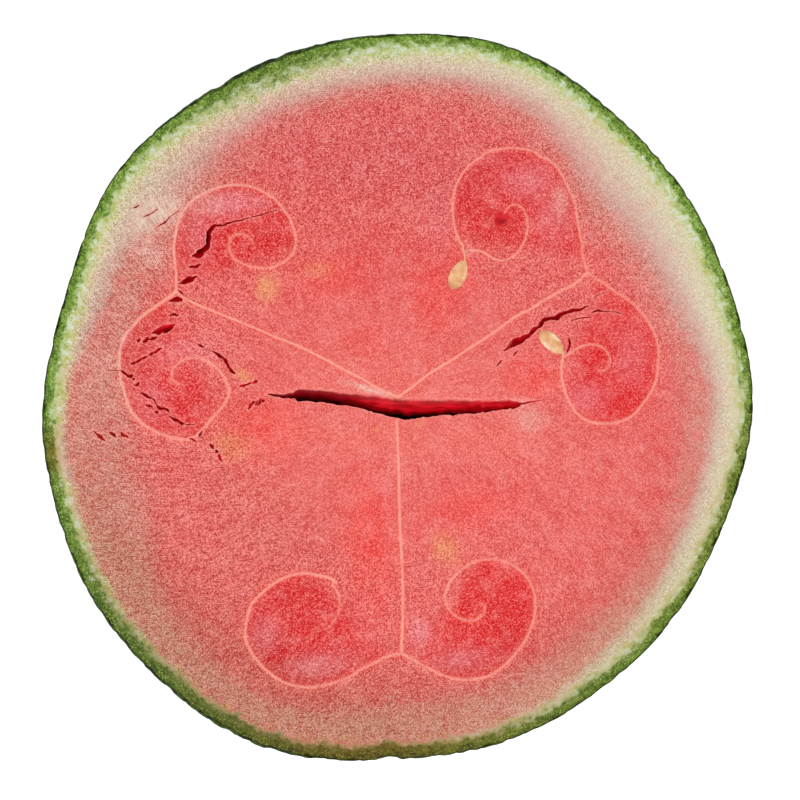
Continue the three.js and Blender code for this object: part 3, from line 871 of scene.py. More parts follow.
# %% Blotches
TORN_PATCH = [(-74.5, 56, 8.5, 4.5, 25, 1.0)]
BLOTCHES = {
    "crimson": [(-46, 49, 15, 12, 0, 0.8), (-66, 0, 12, 9, 0, 0.6), (29, 60, 12, 15, 0, 0.95),
                (66, 5, 12, 12, 0, 0.7), (-31, -70, 14, 14, 0, 0.8), (29, -65, 12, 14, 0, 0.8),
                (-5, 72, 48, 18, 0, 0.75), (-55, 57, 10, 6, 20, 0.6), (-2, 45, 30, 14, 0, 0.4)],
    "ember": [(-41, -10, 12, 10, 10, 0.75), (-8, -46, 8, 22, 5, 0.75), (24, -34, 16, 8, 10, 0.55),
              (19, 38, 6, 9, 0, 0.5), (42, 6, 9, 7, 0, 0.7), (-8, 18, 10, 6, 0, 0.3),
              (-20, 36, 12, 8, 0, 0.4), (12, 30, 8, 12, 0, 0.5)],
    "peach": [(0, 6, 40, 10, 0, 0.5), (5, -12, 50, 9, 0, 0.6), (30, -16, 30, 8, -12, 0.4),
              (-30, -26, 20, 6, 10, 0.3)],
    "straw": [(-39.5, 33.5, 3.2, 4.2, -12, 0.9), (-24, 39, 4.5, 2.5, 0, 0.35), (15, -46.5, 4, 5, 35, 0.6),
              (-46.8, 6.6, 3.0, 1.8, -35, 0.8), (-51, -15, 6, 4, -20, 0.5), (-6, -10, 0.9, 0.8, 0, 0.5),
              (7, -8, 1.0, 0.8, 0, 0.5), (0, 8.2, 0.8, 0.8, 0, 0.4), (-66, 29.5, 2.5, 2, 0, 0.3)],
    "scuff": [(-73.5, 56, 9, 5, 25, 1.0), (-76, 45, 7, 4, -40, 0.6), (-60, 60, 7, 5, 0, 0.35),
              (-7, 2.2, 8, 1.2, -16, 0.9), (50, 60, 2.5, 4.5, 0, 0.45), (41, -6.5, 5, 4, 0, 0.5),
              (38, -2, 3, 2, 0, 0.5), (22, 45, 2, 2, 0, 0.3)],
    "bloom": [(-5, 74, 46, 15, 0, 0.3), (-24, -82, 9, 3.5, 8, 0.7), (-40, -72, 4, 5, 0, 0.6),
              (7, -72, 3, 5, 0, 0.6), (20, -80, 9, 3, 10, 0.5), (-51, 59, 11, 4, 5, 0.8),
              (-60, 50, 4, 8, 0, 0.5), (40, 66, 8, 6, 0, 0.6), (48, 55, 5, 8, 0, 0.4),
              (58, 0, 6, 5, 0, 0.5), (72, 12, 5, 8, 0, 0.4), (-75, -2, 5, 7, 0, 0.4),
              (12, 58, 6, 12, 0, 0.3), (-64, 14, 12, 4, 0, 0.4)],
}


def ellipse_mask(places, blotches):
    """How strongly the strongest blotch shows at each place."""
    mask = np.zeros(len(places))
    for x, y, length, width, turn, amount in blotches:
        cos, sin = math.cos(math.radians(turn)), math.sin(math.radians(turn))
        along = ((places[:, 0] - x) * cos + (places[:, 1] - y) * sin) / length
        across = ((places[:, 1] - y) * cos - (places[:, 0] - x) * sin) / width
        mask = np.maximum(mask, amount * np.exp(-((along**2 + across**2) ** 1.3)))
    return mask


for name, blotches in BLOTCHES.items():
    store(flesh, name, ellipse_mask(flesh_corners, blotches))
torn_patch = ellipse_mask(flesh_corners, TORN_PATCH)
store(flesh, "torn_patch", torn_patch)
store(flesh, "calm", np.maximum(calm, 0.45 * torn_patch))
print(sum(map(len, BLOTCHES.values())), "blotches in", len(BLOTCHES), "kinds")

# %% [markdown]
# ## Inside the curls
# The flesh in the arms of a curl is where the seeds grew, and it is deeper in colour and wetter. So each
# place needs to know whether it is inside a curl. The outer turn of the wall is taken as a closed outline,
# and where the curl stays open the mask fades out softly.

# %% Inside the curls
CURL_FADE = 7.0
# The walls that close off a curl, and how much of each one runs round the outside.
CURLS = [(3, 0.72), (4, 0.7), (5, 1.0), (7, 1.0), (9, 1.0), (11, 0.75)]


def curl_mask(places, line):
    """1 inside a curl of wall, 0 outside, and soft on the side where the curl stays open."""
    start, end = line[0, :2], line[-1, :2]
    across = np.array([start[1] - end[1], end[0] - start[0]]) / np.hypot(*(end - start))
    from_opening = np.abs((places[:, :2] - end) @ across)
    return inside(line[:, :2], places[:, :2]) * smooth_step(from_opening, 0.0, CURL_FADE)


in_curl = np.zeros(len(flesh_corners))
for number, share in CURLS:
    line = wall_lines[number]
    in_curl = np.maximum(in_curl, curl_mask(flesh_corners, line[: int(share * len(line))]))
store(flesh, "curl", in_curl)
print(round(100 * float((in_curl > 0.5).mean())), "% of the corners lie inside a curl")

# %% [markdown]
# ## A map for baking
# The material can be baked into one square image, and then every face needs its own part of that square.
# Nearly all the detail is on the cut face, so the face fills the square as a disc, seen from above as it is.
# The four corners beside the disc are free: one takes the walls of the heart crack, unrolled, two take those
# of the other tears, and one the hidden dome.

# %% Map layout
SPAN = 2 * FACE_RADIUS + 8
CORNER = 0.145
ROW_GAP = 0.2


def sheet_place(number):
    """Where the sheet of a tear starts on the map, and how tall it is. The first has a corner to itself."""
    if number == 0:
        return 0.0, 0.0, CORNER * (1 - ROW_GAP)
    pitch = 2 * CORNER / len(sheets)
    low = 0.0 if number % 2 else 1 - CORNER
    return 1 - CORNER, low + pitch * ((number - 1) // 2), pitch * (1 - ROW_GAP)


flat_places = (face_xy - AXIS) / SPAN + 0.5
places_on_map = [flat_places[list(face)].tolist() for face in flesh_faces[: len(triangles)]]
for number, sheet in enumerate(sheets):
    x, y, tall = sheet_place(number)
    places_on_map += [[(x + CORNER * u, y + tall * v) for u, v in face] for face in sheet]

dome_middle = np.array([CORNER / 2, 1 - CORNER / 2])
circles = CORNER / 2 * np.linspace(1, 0, UNDER_RINGS + 2)
after_directions = np.roll(directions, -1, axis=0)
for outer, inner in zip(circles, circles[1:]):
    for here, after in zip(directions, after_directions):
        around_face = [outer * here, inner * here, inner * after, outer * after]
        if inner == 0:
            around_face.pop(2)
        places_on_map.append([dome_middle + place for place in around_face])

bake_map = flesh.data.uv_layers.new(name="OFBake")
loop_places = np.array([place for face in places_on_map for place in face], np.float32)
bake_map.data.foreach_set("uv", loop_places.ravel())
print("the map places", len(places_on_map), "faces, and the mesh has", len(flesh.data.polygons))
print("the cut face fills", round(100 * math.pi / 4 * (2 * FACE_RADIUS / SPAN) ** 2), "% of the map")

# %% [markdown]
# ## Writing materials as sums
# A material is a graph of nodes, and the graph of a simple sum is long and hard to read. So a small class
# wraps one output of a node. Adding, subtracting or multiplying it puts the Math node in place, and the sum
# is read as a sum. Any other node is made with one method, which takes the node's type, its settings and
# its inputs.

# %% Sockets that can be added up


class Wire:
    """One output of a shader node, which can stand in a sum."""

    def __init__(self, tree, socket=None):
        self.tree = tree
        self.socket = socket

    def node(self, kind, settings=None, inputs=None, output=0):
        """Makes a node, sets it up, fills its inputs with numbers, colours or wires, and gives an output."""
        made = self.tree.nodes.new(kind)
        for key, value in (settings or {}).items():
            if key == "stops":
                ramp = made.color_ramp
                while len(ramp.elements) < len(value):
                    ramp.elements.new(1.0)
                for element, (position, colour) in zip(ramp.elements, value):
                    element.position = position
                    element.color = (*colour, 1.0)
            else:
                setattr(made, key, value)
        for key, value in (inputs or {}).items():
            if isinstance(value, Wire):
                self.tree.links.new(value.socket, made.inputs[key])
            else:
                made.inputs[key].default_value = value
        return Wire(self.tree, made.outputs[output])

    def maths(self, operation, first, second=0.0):
        """A Math node on two values, each a wire or a number."""
        return self.node("ShaderNodeMath", {"operation": operation}, {0: first, 1: second})

    def vector(self, operation, *others, output=0, **named):
        """A Vector Math node on this wire, the other vectors, and the inputs that go by a name."""
        inputs = {0: self, **dict(enumerate(others, 1)), **named}
        return self.node("ShaderNodeVectorMath", {"operation": operation}, inputs, output)

    def __add__(self, other):
        return self.maths("ADD", self, other)

    def __sub__(self, other):
        return self.maths("SUBTRACT", self, other)

    def __rsub__(self, other):
        return self.maths("SUBTRACT", other, self)

    def __mul__(self, other):
        return self.maths("MULTIPLY", self, other)

    def __truediv__(self, other):
        return self.maths("DIVIDE", self, other)

    __radd__ = __add__
    __rmul__ = __mul__

    def clamp(self):
        """The value kept between 0 and 1."""
        return self.node("ShaderNodeClamp", None, {0: self})

    def size(self):
        """The value without its sign."""
        return self.maths("ABSOLUTE", self)

    def step(self, low, high):
        """0 below low, 1 above high, and a soft climb between. It falls where high is the smaller."""
        settings = {"interpolation_type": "SMOOTHSTEP"}
        return self.node("ShaderNodeMapRange", settings, {0: self, 1: low, 2: high, 3: 0.0, 4: 1.0})


# %% [markdown]
# ## Colours and patterns
# Colours are chosen as they look on a screen, from 0 to 255, but light adds up in linear values, so each is
# converted. Four helpers do most of the work below: one mixes two colours by a mask, one lays a whole list
# of colours over a base in that way, one gives smooth noise, and one reads a value that was stored on the
# mesh.

# %% Helpers for materials


def colour(red, green, blue):
    """A colour given in screen values, as the linear values that Blender reckons with."""
    shares = [value / 255 for value in (red, green, blue)]
    return tuple(s / 12.92 if s <= 0.04045 else ((s + 0.055) / 1.055) ** 2.4 for s in shares)


def full(value):
    """A colour as a socket wants it: a wire as it is, and three numbers with a fourth for opacity."""
    return value if isinstance(value, Wire) else (*value, 1.0)


def mix(mask, below, above, way="MIX"):
    """The colour below where the mask is 0 and the one above where it is 1."""
    settings = {"data_type": "RGBA", "blend_type": way}
    return mask.node("ShaderNodeMix", settings, {0: mask, 6: full(below), 7: full(above)}, 2)


def layered(base, *layers):
    """The base with layers over it. Each layer is a mask and the colour that shows where the mask is 1."""
    for mask, above in layers:
        base = mix(mask, base, above)
    return base


def clouds(places, size, detail=2.0, roughness=0.5):
    """Noise from 0 to 1 with patches about size millimetres apart, when places are in millimetres."""
    inputs = {"Vector": places, "Scale": 1.0 / size, "Detail": detail, "Roughness": roughness}
    return places.node("ShaderNodeTexNoise", None, inputs)


def stored(wire, name):
    """A value that was stored on the mesh under this name."""
    return wire.node("ShaderNodeAttribute", {"attribute_name": name}, None, 2)


def new_material(name):
    """An empty material, a wire to build on, its Principled shader and the places in millimetres."""
    material = bpy.data.materials.new(name)
    material.use_nodes = True
    tree = material.node_tree
    shader = tree.nodes["Principled BSDF"]
    start = Wire(tree)
    places = start.node("ShaderNodeTexCoord", None, None, "Object").vector("SCALE", Scale=1 / MM)
    return material, start, shader, places


def plug(wire, shader, name):
    """Links what varies over the surface to a socket of the shader."""
    wire.tree.links.new(wire.socket, shader.inputs[name])


def set_all(shader, values):
    """Sets the sockets that are the same all over the surface."""
    for name, value in values.items():
        shader.inputs[name].default_value = value


print("helpers ready")

# %% [markdown]
# ## Places in the rind
# The rind is built in layers that follow the skin. Noise that is stretched along those layers needs its own
# places: the point's direction from the melon's axis, put on a circle of the melon's size, and its depth
# below the skin as the third number. Stretching is then only a matter of multiplying. The grain of the
# flesh has streaks that swirl out from the heart, and for those the direction is turned a little with the
# depth.

# %% Flesh material: places and grain
SWIRL = 0.0055
BAG_WIDTH = 0.38
flesh_material, start, flesh_shader, places = new_material("flesh")
heading = places.vector("MULTIPLY_ADD", (1.0, 1.0, 0.0), (-AXIS[0], -AXIS[1], 0.0)).vector("NORMALIZE")
rim_depth_wire = stored(start, "rim_depth")
depth_vector = start.node("ShaderNodeCombineXYZ", None, {2: rim_depth_wire})
turned = {"Vector": heading, "Angle": rim_depth_wire * -SWIRL}
turned = start.node("ShaderNodeVectorRotate", {"rotation_type": "Z_AXIS"}, turned)


def stretched(heading, around, inward):
    """Places for noise with patches so many millimetres long around the melon and inward."""
    deep = depth_vector.vector("SCALE", Scale=1 / inward)
    return heading.vector("MULTIPLY_ADD", (FACE_RADIUS / around,) * 3, deep)


broad = clouds(places, 11.0)
patchy = clouds(places, 4.2)
mottle = clouds(places, 1.9)
grain = clouds(places, 0.62, 1.0, 0.6)
bags = start.node("ShaderNodeTexVoronoi", None, {"Vector": places, "Scale": 1 / BAG_WIDTH}, 1)
bag_tone = start.node("ShaderNodeSeparateColor", None, {0: bags})
strokes = clouds(stretched(turned, 0.5, 2.5), 1.0, 1.0)
dust = clouds(places, 0.28, 0.0)
speckle = (bag_tone - 0.5) * 0.85 + (grain - 0.5) * 0.4 + (dust - 0.5) * 2.3 + (mottle - 0.5) * 0.15
speckle = speckle + (strokes - 0.5) * (stored(start, "brushed") * 1.3 + 0.3)
pits = speckle.step(0.0, -0.55)
glints = speckle.step(0.0, 0.55)
print("each bag of juice is about", BAG_WIDTH, "mm wide")

# %% [markdown]
# ## The colour of the flesh
# The colour goes from coral red at the heart, through pale pink, to cream under the rind. A ramp holds
# those steps, and the stored pallor says where on it a point lies. Noise is added to the pallor first, so
# that the zones meet in ragged patches and not in neat rings. Over the ramp go the blotches, a thin veil,
# faint rays that run out from the heart, drifts of lighter and darker red, and a grey green haze on the
# calm side of the rind.

# %% Flesh material: ripe flesh
pallor_wire = stored(start, "pallor") + (patchy - 0.5) * 0.22 + (mottle - 0.5) * 0.22
FLESH_STEPS = [(0.0, colour(221, 95, 90)), (0.12, colour(214, 98, 93)), (0.34, colour(207, 125, 113)),
               (0.6, colour(200, 153, 141)), (0.8, colour(204, 175, 159)), (1.0, colour(208, 195, 166))]
ripe = start.node("ShaderNodeValToRGB", {"stops": FLESH_STEPS}, {0: pallor_wire.clamp()})
curl = stored(start, "curl")
crimson = (stored(start, "crimson") * (0.3 + patchy * 1.0) + curl * (0.42 + mottle * 0.5)).clamp()
ember = (stored(start, "ember") * (0.2 + patchy * 1.4)).clamp()
peach = (stored(start, "peach") * (0.3 + broad * 1.4)).clamp()
bloom = (stored(start, "bloom") * (mottle * 0.7 + patchy * 0.9) * 1.3).clamp()
straw = (stored(start, "straw") * (0.4 + mottle * 1.2)).clamp()
scuff = (stored(start, "scuff") * (0.2 + mottle * 1.3)).clamp()
veil = clouds(places, 7.0).step(0.52, 0.7) * mottle.step(0.3, 0.6)
rays = clouds(stretched(turned, 3.2, 9.0), 1.0, 1.0)
drifts = clouds(places, 5.5, 1.0)
in_red = (1 - pallor_wire * 1.6).clamp()
in_cream = pallor_wire.step(0.55, 0.85)
rind_depth_wire = stored(start, "rind_depth")
calm_wire = stored(start, "calm")
haze = rind_depth_wire.step(17.0, 8.0) * (calm_wire * 2.2).clamp()
torn_colour = mix(strokes.step(0.38, 0.6), colour(200, 158, 138), colour(224, 204, 188))
ripe = layered(
    ripe,
    (crimson, colour(212, 0, 10)),
    (ember * 0.9, colour(236, 50, 38)),
    (peach * 0.6, colour(235, 118, 100)),
    (veil * 0.3, colour(226, 128, 130)),
    (rays.step(0.5, 0.3) * in_red * 0.26, colour(206, 44, 46)),
    (rays.step(0.54, 0.74) * in_red * 0.2, colour(234, 134, 122)),
    (drifts.step(0.5, 0.66) * in_red * 0.2, colour(212, 46, 48)),
    (drifts.step(0.48, 0.32) * in_red * 0.16, colour(236, 140, 136)),
    (haze * 0.5, colour(206, 206, 172)),
    (grain.step(0.5, 0.3) * in_cream * 0.34, colour(196, 140, 122)),
    (grain.step(0.52, 0.7) * in_cream * 0.3, colour(234, 216, 198)),
    (bloom * 0.75, colour(228, 132, 142)),
    (straw * 0.85, colour(224, 150, 88)),
    (scuff, colour(226, 178, 166)),
    (stored(start, "torn_patch") * 0.7, torn_colour),
)
ripe = mix(stored(start, "dull"), ripe, (0.74, 0.84, 0.66), "MULTIPLY")
print("the flesh has", len(FLESH_STEPS), "steps of colour")

# %% [markdown]
# ## The rind
# Outside the cream lies the rind: milky patches, yellow green threads between them, and then a green layer
# that gets darker towards the skin and is full of tiny light and dark cells. The layers are a second ramp,
# over the depth below the skin, and noise in that depth makes them ragged. Where the melon lay, brown
# stains take the place of the green. All of it is laid over the flesh only where the depth is small.

# %% Flesh material: rind layers
rind_noise = clouds(stretched(heading, 1.5, 1.1), 1.0)
cells = clouds(stretched(heading, 0.55, 0.5), 1.0, 1.0)
patches = clouds(stretched(heading, 3.2, 2.0), 1.0, 1.0)
bays = clouds(stretched(heading, 9.0, 5.0), 1.0, 0.0)
web = clouds(stretched(heading, 2.0, 1.7), 1.0, 1.0)
threads = (web - 0.5).size().step(0.07, 0.02)
olive = stored(start, "olive")
stained = olive.clamp()
painted_rind_shade_wire = stored(start, "dim")
ragged_depth = rind_depth_wire + (rind_noise - 0.5) * 4.2 + (patches - 0.5) * 3.4 + (bays - 0.5) * 2.4
ragged_depth = ragged_depth + olive * ragged_depth.step(2.5, 6.0) * 3.0 + (cells - 0.5) * 1.2
RIND_STEPS = [(0.0, colour(86, 120, 28)), (0.16, colour(106, 142, 40)), (0.34, colour(126, 156, 64)),
              (0.5, colour(160, 182, 112)), (0.66, colour(184, 196, 142)), (0.82, colour(198, 202, 154)),
              (1.0, colour(204, 198, 158))]
RIND_DEPTH = 7.5
rind = start.node("ShaderNodeValToRGB", {"stops": RIND_STEPS}, {0: (ragged_depth / RIND_DEPTH).clamp()})
green_part = ragged_depth.step(4.6, 2.8)
brown = mix(ragged_depth.step(0.3, 2.5), colour(68, 48, 0), colour(102, 76, 0))
brown = mix(ragged_depth.step(2.5, 6.5), brown, colour(166, 128, 68))
brown = mix(rind_noise.step(0.4, 0.65) * 0.5, brown, colour(112, 108, 8))
rind = layered(
    rind,
    (patches.step(0.58, 0.4) * green_part * 0.5, colour(58, 92, 4)),
    (rind_noise.step(0.5, 0.68) * green_part * 0.5, colour(146, 172, 58)),
    (stained * 0.92, brown),
    (stored(start, "warm").clamp() * ragged_depth.step(3.0, 6.0) * 0.6, colour(198, 166, 120)),
)
# Painted shade: the rind is made darker and more olive on two sides.
outer_painted_shade = painted_rind_shade_wire.clamp() * ragged_depth.step(8.0, 2.5) * (1 - olive * 0.35).clamp()
inner_painted_shade = painted_rind_shade_wire.clamp() * ragged_depth.step(2.0, 4.5)
rind = mix(outer_painted_shade * 0.85, rind, (0.42, 0.44, 0.16), "MULTIPLY")
rind = mix(inner_painted_shade * 0.9, rind, (0.66, 0.6, 0.45), "MULTIPLY")
print("the rind is", RIND_DEPTH, "mm thick")

# %% [markdown]
# ## Patches, threads and cells in the rind
# The ramp alone would look like paint. So the rind also gets its fine pattern, each part with the same
# noise that made the layers ragged: milky patches between the cream and the green, lime green threads,
# light and dark cells in the green layer, and a few ochre flecks where it ends.

# %% Flesh material: pattern of the rind
milky = patches.step(0.38, 0.6) * web.step(0.34, 0.58)
milky = milky * ragged_depth.step(2.8, 4.6) * rind_depth_wire.step(11.0, 7.0)
milky = milky * (1 - olive - painted_rind_shade_wire * 0.6).clamp()
lime = threads * rind_depth_wire.step(2.6, 4.2) * rind_depth_wire.step(12.0, 8.0)
lime = lime * (1 - olive - painted_rind_shade_wire * 0.7).clamp()
dark_cells = cells.step(0.45, 0.32) * green_part * (1 - olive * 0.5).clamp()
ochre = rind_noise.step(0.5, 0.62) * patches.step(0.5, 0.42)
ochre = ochre * rind_depth_wire.step(4.6, 5.8) * rind_depth_wire.step(9.0, 6.8)
rind = layered(
    rind,
    (milky * 0.75, colour(204, 214, 194)),
    (lime * 0.75, colour(164, 176, 70)),
    (cells.step(0.57, 0.72) * green_part * 0.6, mix(stained, colour(186, 200, 120), colour(160, 146, 40))),
    (dark_cells * 0.7, mix(stained, colour(36, 56, 4), colour(40, 34, 0))),
)
surface = layered(
    ripe,
    (ragged_depth.step(8.6, 5.6), rind),
    (lime * ragged_depth.step(5.0, 8.0) * 0.34, colour(196, 190, 110)),
    (ochre * 0.4, colour(190, 150, 52)),
)
print("the flesh material has", len(flesh_material.node_tree.nodes), "nodes so far")

# %% [markdown]
# ## Walls, grain and tears on the face
# Three more things are laid over the colour. The walls are cream pink lines, and noise in their distance
# keeps them from looking ruled. The grain is what makes it melon: each cell of the flesh is a tiny bag of
# juice. The opened cells show as deeper red pits, partly the grain and partly painted shade, and bright
# specks over the rest are painted highlights. Down in the tears the flesh is whole and soaked, so it is
# redder and glossier, and painted shade darkens it with depth, on the left of the heart crack and in pale
# flesh.

# %% Flesh material: details
wall_strength = stored(start, "wall_strength")
wall_gap = stored(start, "wall_gap") + (mottle - 0.5) * 0.35 + (grain - 0.5) * 0.2
wall_mask = (wall_gap.step(1.0, 0.2) * wall_strength * (0.75 + patchy * 0.55)).clamp()
halo = wall_gap.step(2.8, 0.6) * wall_strength * pallor_wire.step(0.5, 0.1) * patchy
wall_colour = mix(pallor_wire.step(0.0, 0.6), colour(240, 160, 144), colour(228, 192, 176))
wall_colour = mix(curl * patchy, wall_colour, colour(232, 140, 140))
pale_lips = stored(start, "lip_gap").step(0.9, 0.1) * (0.2 + mottle)

depth = stored(start, "depth")
lit = stored(start, "lit")
fibres = clouds(places.vector("MULTIPLY", (0.2, 1.0, 1.0)), 1.5)
# Deep red soaked flesh, with painted shade: on the left of the heart crack, deeper down, and brown in pale
# flesh.
soaked_flesh_and_shade = layered(
    mix(fibres.step(0.35, 0.65), colour(142, 4, 12), colour(204, 22, 38)),
    (lit.step(0.55, 0.15) * 0.7, colour(104, 0, 8)),
    (depth.step(3.5, 9.0), colour(52, 0, 6)),
    (pallor_wire.step(0.2, 0.55) * depth.step(3.0, 1.5) * 0.8, colour(140, 78, 56)),
)
surface = layered(
    surface,
    (halo * 0.7, colour(232, 96, 66)),
    (wall_mask * 0.82, wall_colour),
    (pale_lips * 0.6, colour(236, 130, 122)),
    (depth.step(0.25, 0.9), soaked_flesh_and_shade),
)

in_flesh = rim_depth_wire.step(3.0, 7.0) * (1 - calm_wire)
in_flesh = in_flesh * depth.step(0.6, 0.1) * (1 - wall_mask * 0.5)
# Pits: deeper red specks, partly the flesh's grain and partly painted shade in the opened cells.
pit_mask = pits * in_flesh
pit_shade = mix(pallor_wire.step(0.15, 0.55), (0.64, 0.23, 0.24), (0.66, 0.53, 0.47))
pit_shade = mix(pit_mask * (1 - curl * 0.35), (1.0, 1.0, 1.0), pit_shade)
surface = mix(pit_mask, surface, pit_shade, "MULTIPLY")
# Glints: painted highlights, white added in specks over the grain.
surface = mix(glints * in_flesh, surface, (0.16, 0.15, 0.14), "ADD")
plug(surface, flesh_shader, "Base Color")
print("walls, grain and tears are laid over the colour")

# %% [markdown]
# ## How the flesh takes the light
# The upper part of each tear's wall gets a painted glow: a dim crimson emission that stands in for light
# passing through the wet flesh, stronger where the painted light is high. Whole cells shine more than open
# ones, and soaked flesh shines most. Bumps come from the same noise as the grain, and a little light
# scatters under the surface.

# %% Flesh material: gloss, painted glow and bumps
# Painted glow: crimson emission on the upper walls of the tears, where no lamp shines.
painted_glow = depth.step(0.3, 1.4) * depth.step(8.5, 3.0) * lit * pallor_wire.step(0.6, 0.2)
plug(mix(painted_glow, colour(0, 0, 0), colour(196, 12, 24)), flesh_shader, "Emission Color")
wet = 0.52 - glints * 0.1 + pits * 0.1 - depth.step(0.5, 3.0) * 0.22
plug(wet.clamp(), flesh_shader, "Roughness")
swell = grain * 0.8 + bag_tone * 0.15 + mottle * 0.5
bumps = start.node("ShaderNodeBump", None, {"Strength": 0.5, "Distance": 0.22 * MM, "Height": swell})
plug(bumps, flesh_shader, "Normal")
set_all(flesh_shader, {"Emission Strength": 0.32, "Specular IOR Level": 0.28, "IOR": 1.36,
                       "Subsurface Weight": 0.12, "Subsurface Radius": (1.0, 0.35, 0.25),
                       "Subsurface Scale": 1.6 * MM})
flesh.data.materials.append(flesh_material)
print("the flesh material has", len(flesh_material.node_tree.nodes), "nodes")

# %% [markdown]
# ## The skin
# The skin is a closed shell that follows the dome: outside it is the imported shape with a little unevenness,
# inside it is the same moved inward. It could be a solidified copy of the dome, but building it from rings
# gives control over the one part that shows from above: the thin cut edge around the face.

# %% Skin shell
SKIN_RINGS = 64
INNER_RINGS = 16
SKIN_THICKNESS = 0.9
INSIDE_FLOOR = 1.0
SKIN_CREASE = 70
# The rim's dents start at the first height and are full at the second. Near the pole the skin is smoother.
DENTS_FROM = HEIGHT - 45
DENTS_FULL = HEIGHT - 3
POLE_LATITUDE = -1.45
POLE_ROUGHNESS = 0.3


def uneven(ring):
    """How far the skin dips in at each corner of a ring, in millimetres."""
    broad_dips = 0.09 * (1 + wobble(ring, 13, 21))
    return broad_dips + 0.1 * (1 + 1.5 * wobble(ring, 4.5, 22)) + 0.12 * wobble(ring, 1.7, 23)


def loft(rings, first_end, last_end, turned=False):
    """Corners and faces of a closed body from rings with as many corners each, and a point at each end."""
    count = len(rings[0])
    numbers = [range(first, first + count) for first in range(0, len(rings) * count, count)]
    corners = np.vstack([*rings, [first_end], [last_end]])
    faces = []
    for ring, next_ring in zip(numbers, numbers[1:]):
        faces += belt(ring, next_ring, turned)
    faces += fan(numbers[0], len(corners) - 2, not turned)
    faces += fan(numbers[-1], len(corners) - 1, turned)
    return corners, faces


skin_rings = []
for latitude in np.linspace(rest_latitude, CUT_LATITUDE - 0.004, SKIN_RINGS):
    ring = level_ring(skin_radius(rim_around, latitude), float(skin_height(latitude)))
    dip = uneven(ring) * (1 if latitude > POLE_LATITUDE else POLE_ROUGHNESS)
    at_rim = smooth_step(ring[0, 2], DENTS_FROM, DENTS_FULL)
    dip = dip * (1 - at_rim) + (EDGE_WEAR + rim_dip) * at_rim
    ring[:, :2] -= dip[:, None] * directions
    skin_rings.append(ring)
outer_edge = skin_edge(rim_around)
inner_edge = np.minimum(flesh_edge(rim_around) - 0.02, outer_edge - 0.12)
skin_rings.append(level_ring(outer_edge - 0.05, HEIGHT - 0.14))
skin_rings.append(level_ring(outer_edge * 0.5 + inner_edge * 0.5, HEIGHT - 0.1))
skin_rings.append(level_ring(inner_edge, HEIGHT - 0.25))
skin_rings.append(level_ring(inner_edge - 0.05, HEIGHT - 1.4))
for latitude in np.linspace(CUT_LATITUDE - 0.03, rest_latitude, INNER_RINGS):
    radius = skin_radius(rim_around, latitude) - rim_dip - SKIN_THICKNESS - 0.3
    height = max(float(skin_height(latitude)), INSIDE_FLOOR)
    skin_rings.append(level_ring(np.maximum(radius, 1.0), height))
skin_corners, skin_faces = loft(skin_rings, (*AXIS, 0.0), (*AXIS, INSIDE_FLOOR))
skin = new_piece("skin", skin_corners, skin_faces, SKIN_CREASE)
print("the skin has", len(skin_corners), "corners and", len(skin_faces), "faces")

# %% [markdown]
# ## The look of the skin
# A dark skinned melon is almost black green, with a web of slightly lighter veins and freckles that run
# from pole to pole, and a thin wax that makes it satin. Where it lay on the ground no sun reached it, and
# that spot stayed yellow. Stretching the noise along the melon's axis makes the marks run the right way.

# %% Skin material
skin_material, start, skin_shader, places = new_material("skin")
GROUND_SPOT = (-10.0, -88.0, 62.0)
GROUND_RADIUS = 38.0
VEIN_SPACING = 7.0
tall = places.vector("MULTIPLY", (1.0, 1.0, 0.4))
bands = clouds(tall, 16.0, 3.0)
freckles = clouds(tall, 2.2, 2.0)
specks = clouds(places, 0.9, 1.0)
bent = tall.vector("ADD", clouds(tall, 6.0).vector("SCALE", Scale=5.0))
vein_inputs = {"Vector": bent, "Scale": 1 / VEIN_SPACING}
veins = start.node("ShaderNodeTexVoronoi", {"feature": "DISTANCE_TO_EDGE"}, vein_inputs)
to_spot = places.vector("DISTANCE", GROUND_SPOT, output=1)
spot = (to_spot + (bands - 0.5) * 30 + (freckles - 0.5) * 9).step(GROUND_RADIUS, GROUND_RADIUS * 0.55)
height_here = start.node("ShaderNodeSeparateXYZ", None, {0: places}, 2)
cut_edge = height_here.step(HEIGHT - 9.0, HEIGHT - 1.0)
green = layered(
    mix(bands.step(0.38, 0.66), colour(22, 42, 16), colour(44, 72, 28)),
    (veins.step(0.16, 0.02) * bands.step(0.3, 0.7) * 0.6, colour(66, 98, 42)),
    (freckles.step(0.58, 0.75) * 0.45, colour(78, 108, 52)),
    (specks.step(0.66, 0.76) * 0.35, colour(140, 156, 90)),
    (spot * 0.85, mix(freckles, colour(150, 142, 66), colour(196, 184, 112))),
    (cut_edge * 0.9, mix(freckles.step(0.42, 0.58), colour(18, 28, 4), colour(58, 80, 18))),
)
plug(green, skin_shader, "Base Color")
plug((0.34 + freckles * 0.16 + spot * 0.12 + cut_edge * 0.3).clamp(), skin_shader, "Roughness")
skin_bumps = {"Strength": 0.25, "Distance": 0.2 * MM, "Height": freckles + specks * 0.6}
plug(start.node("ShaderNodeBump", None, skin_bumps), skin_shader, "Normal")
set_all(skin_shader, {"Specular IOR Level": 0.25})
skin.data.materials.append(skin_material)
print("the skin material has", len(skin_material.node_tree.nodes), "nodes")

# %% [markdown]
# ## Two bare seeds
# The knife bared two soft pale seeds. A melon seed is a flat drop: round at one end, pointed where its
# stalk was, and thicker in the middle than at the edge. It is lofted from slices along its length, each a
# flattened oval, and the last slices run on as the thin stalk that still ties it to the wall.

# %% Seed shapes
SEED_SLICES = 40
SEED_CORNERS = 28
SEED_THICKNESS = 1.8
SEED_TOP = HEIGHT - 0.1
SEED_CREASE = 60
STALK_HALF = 0.32
STALK_STEP = 0.3
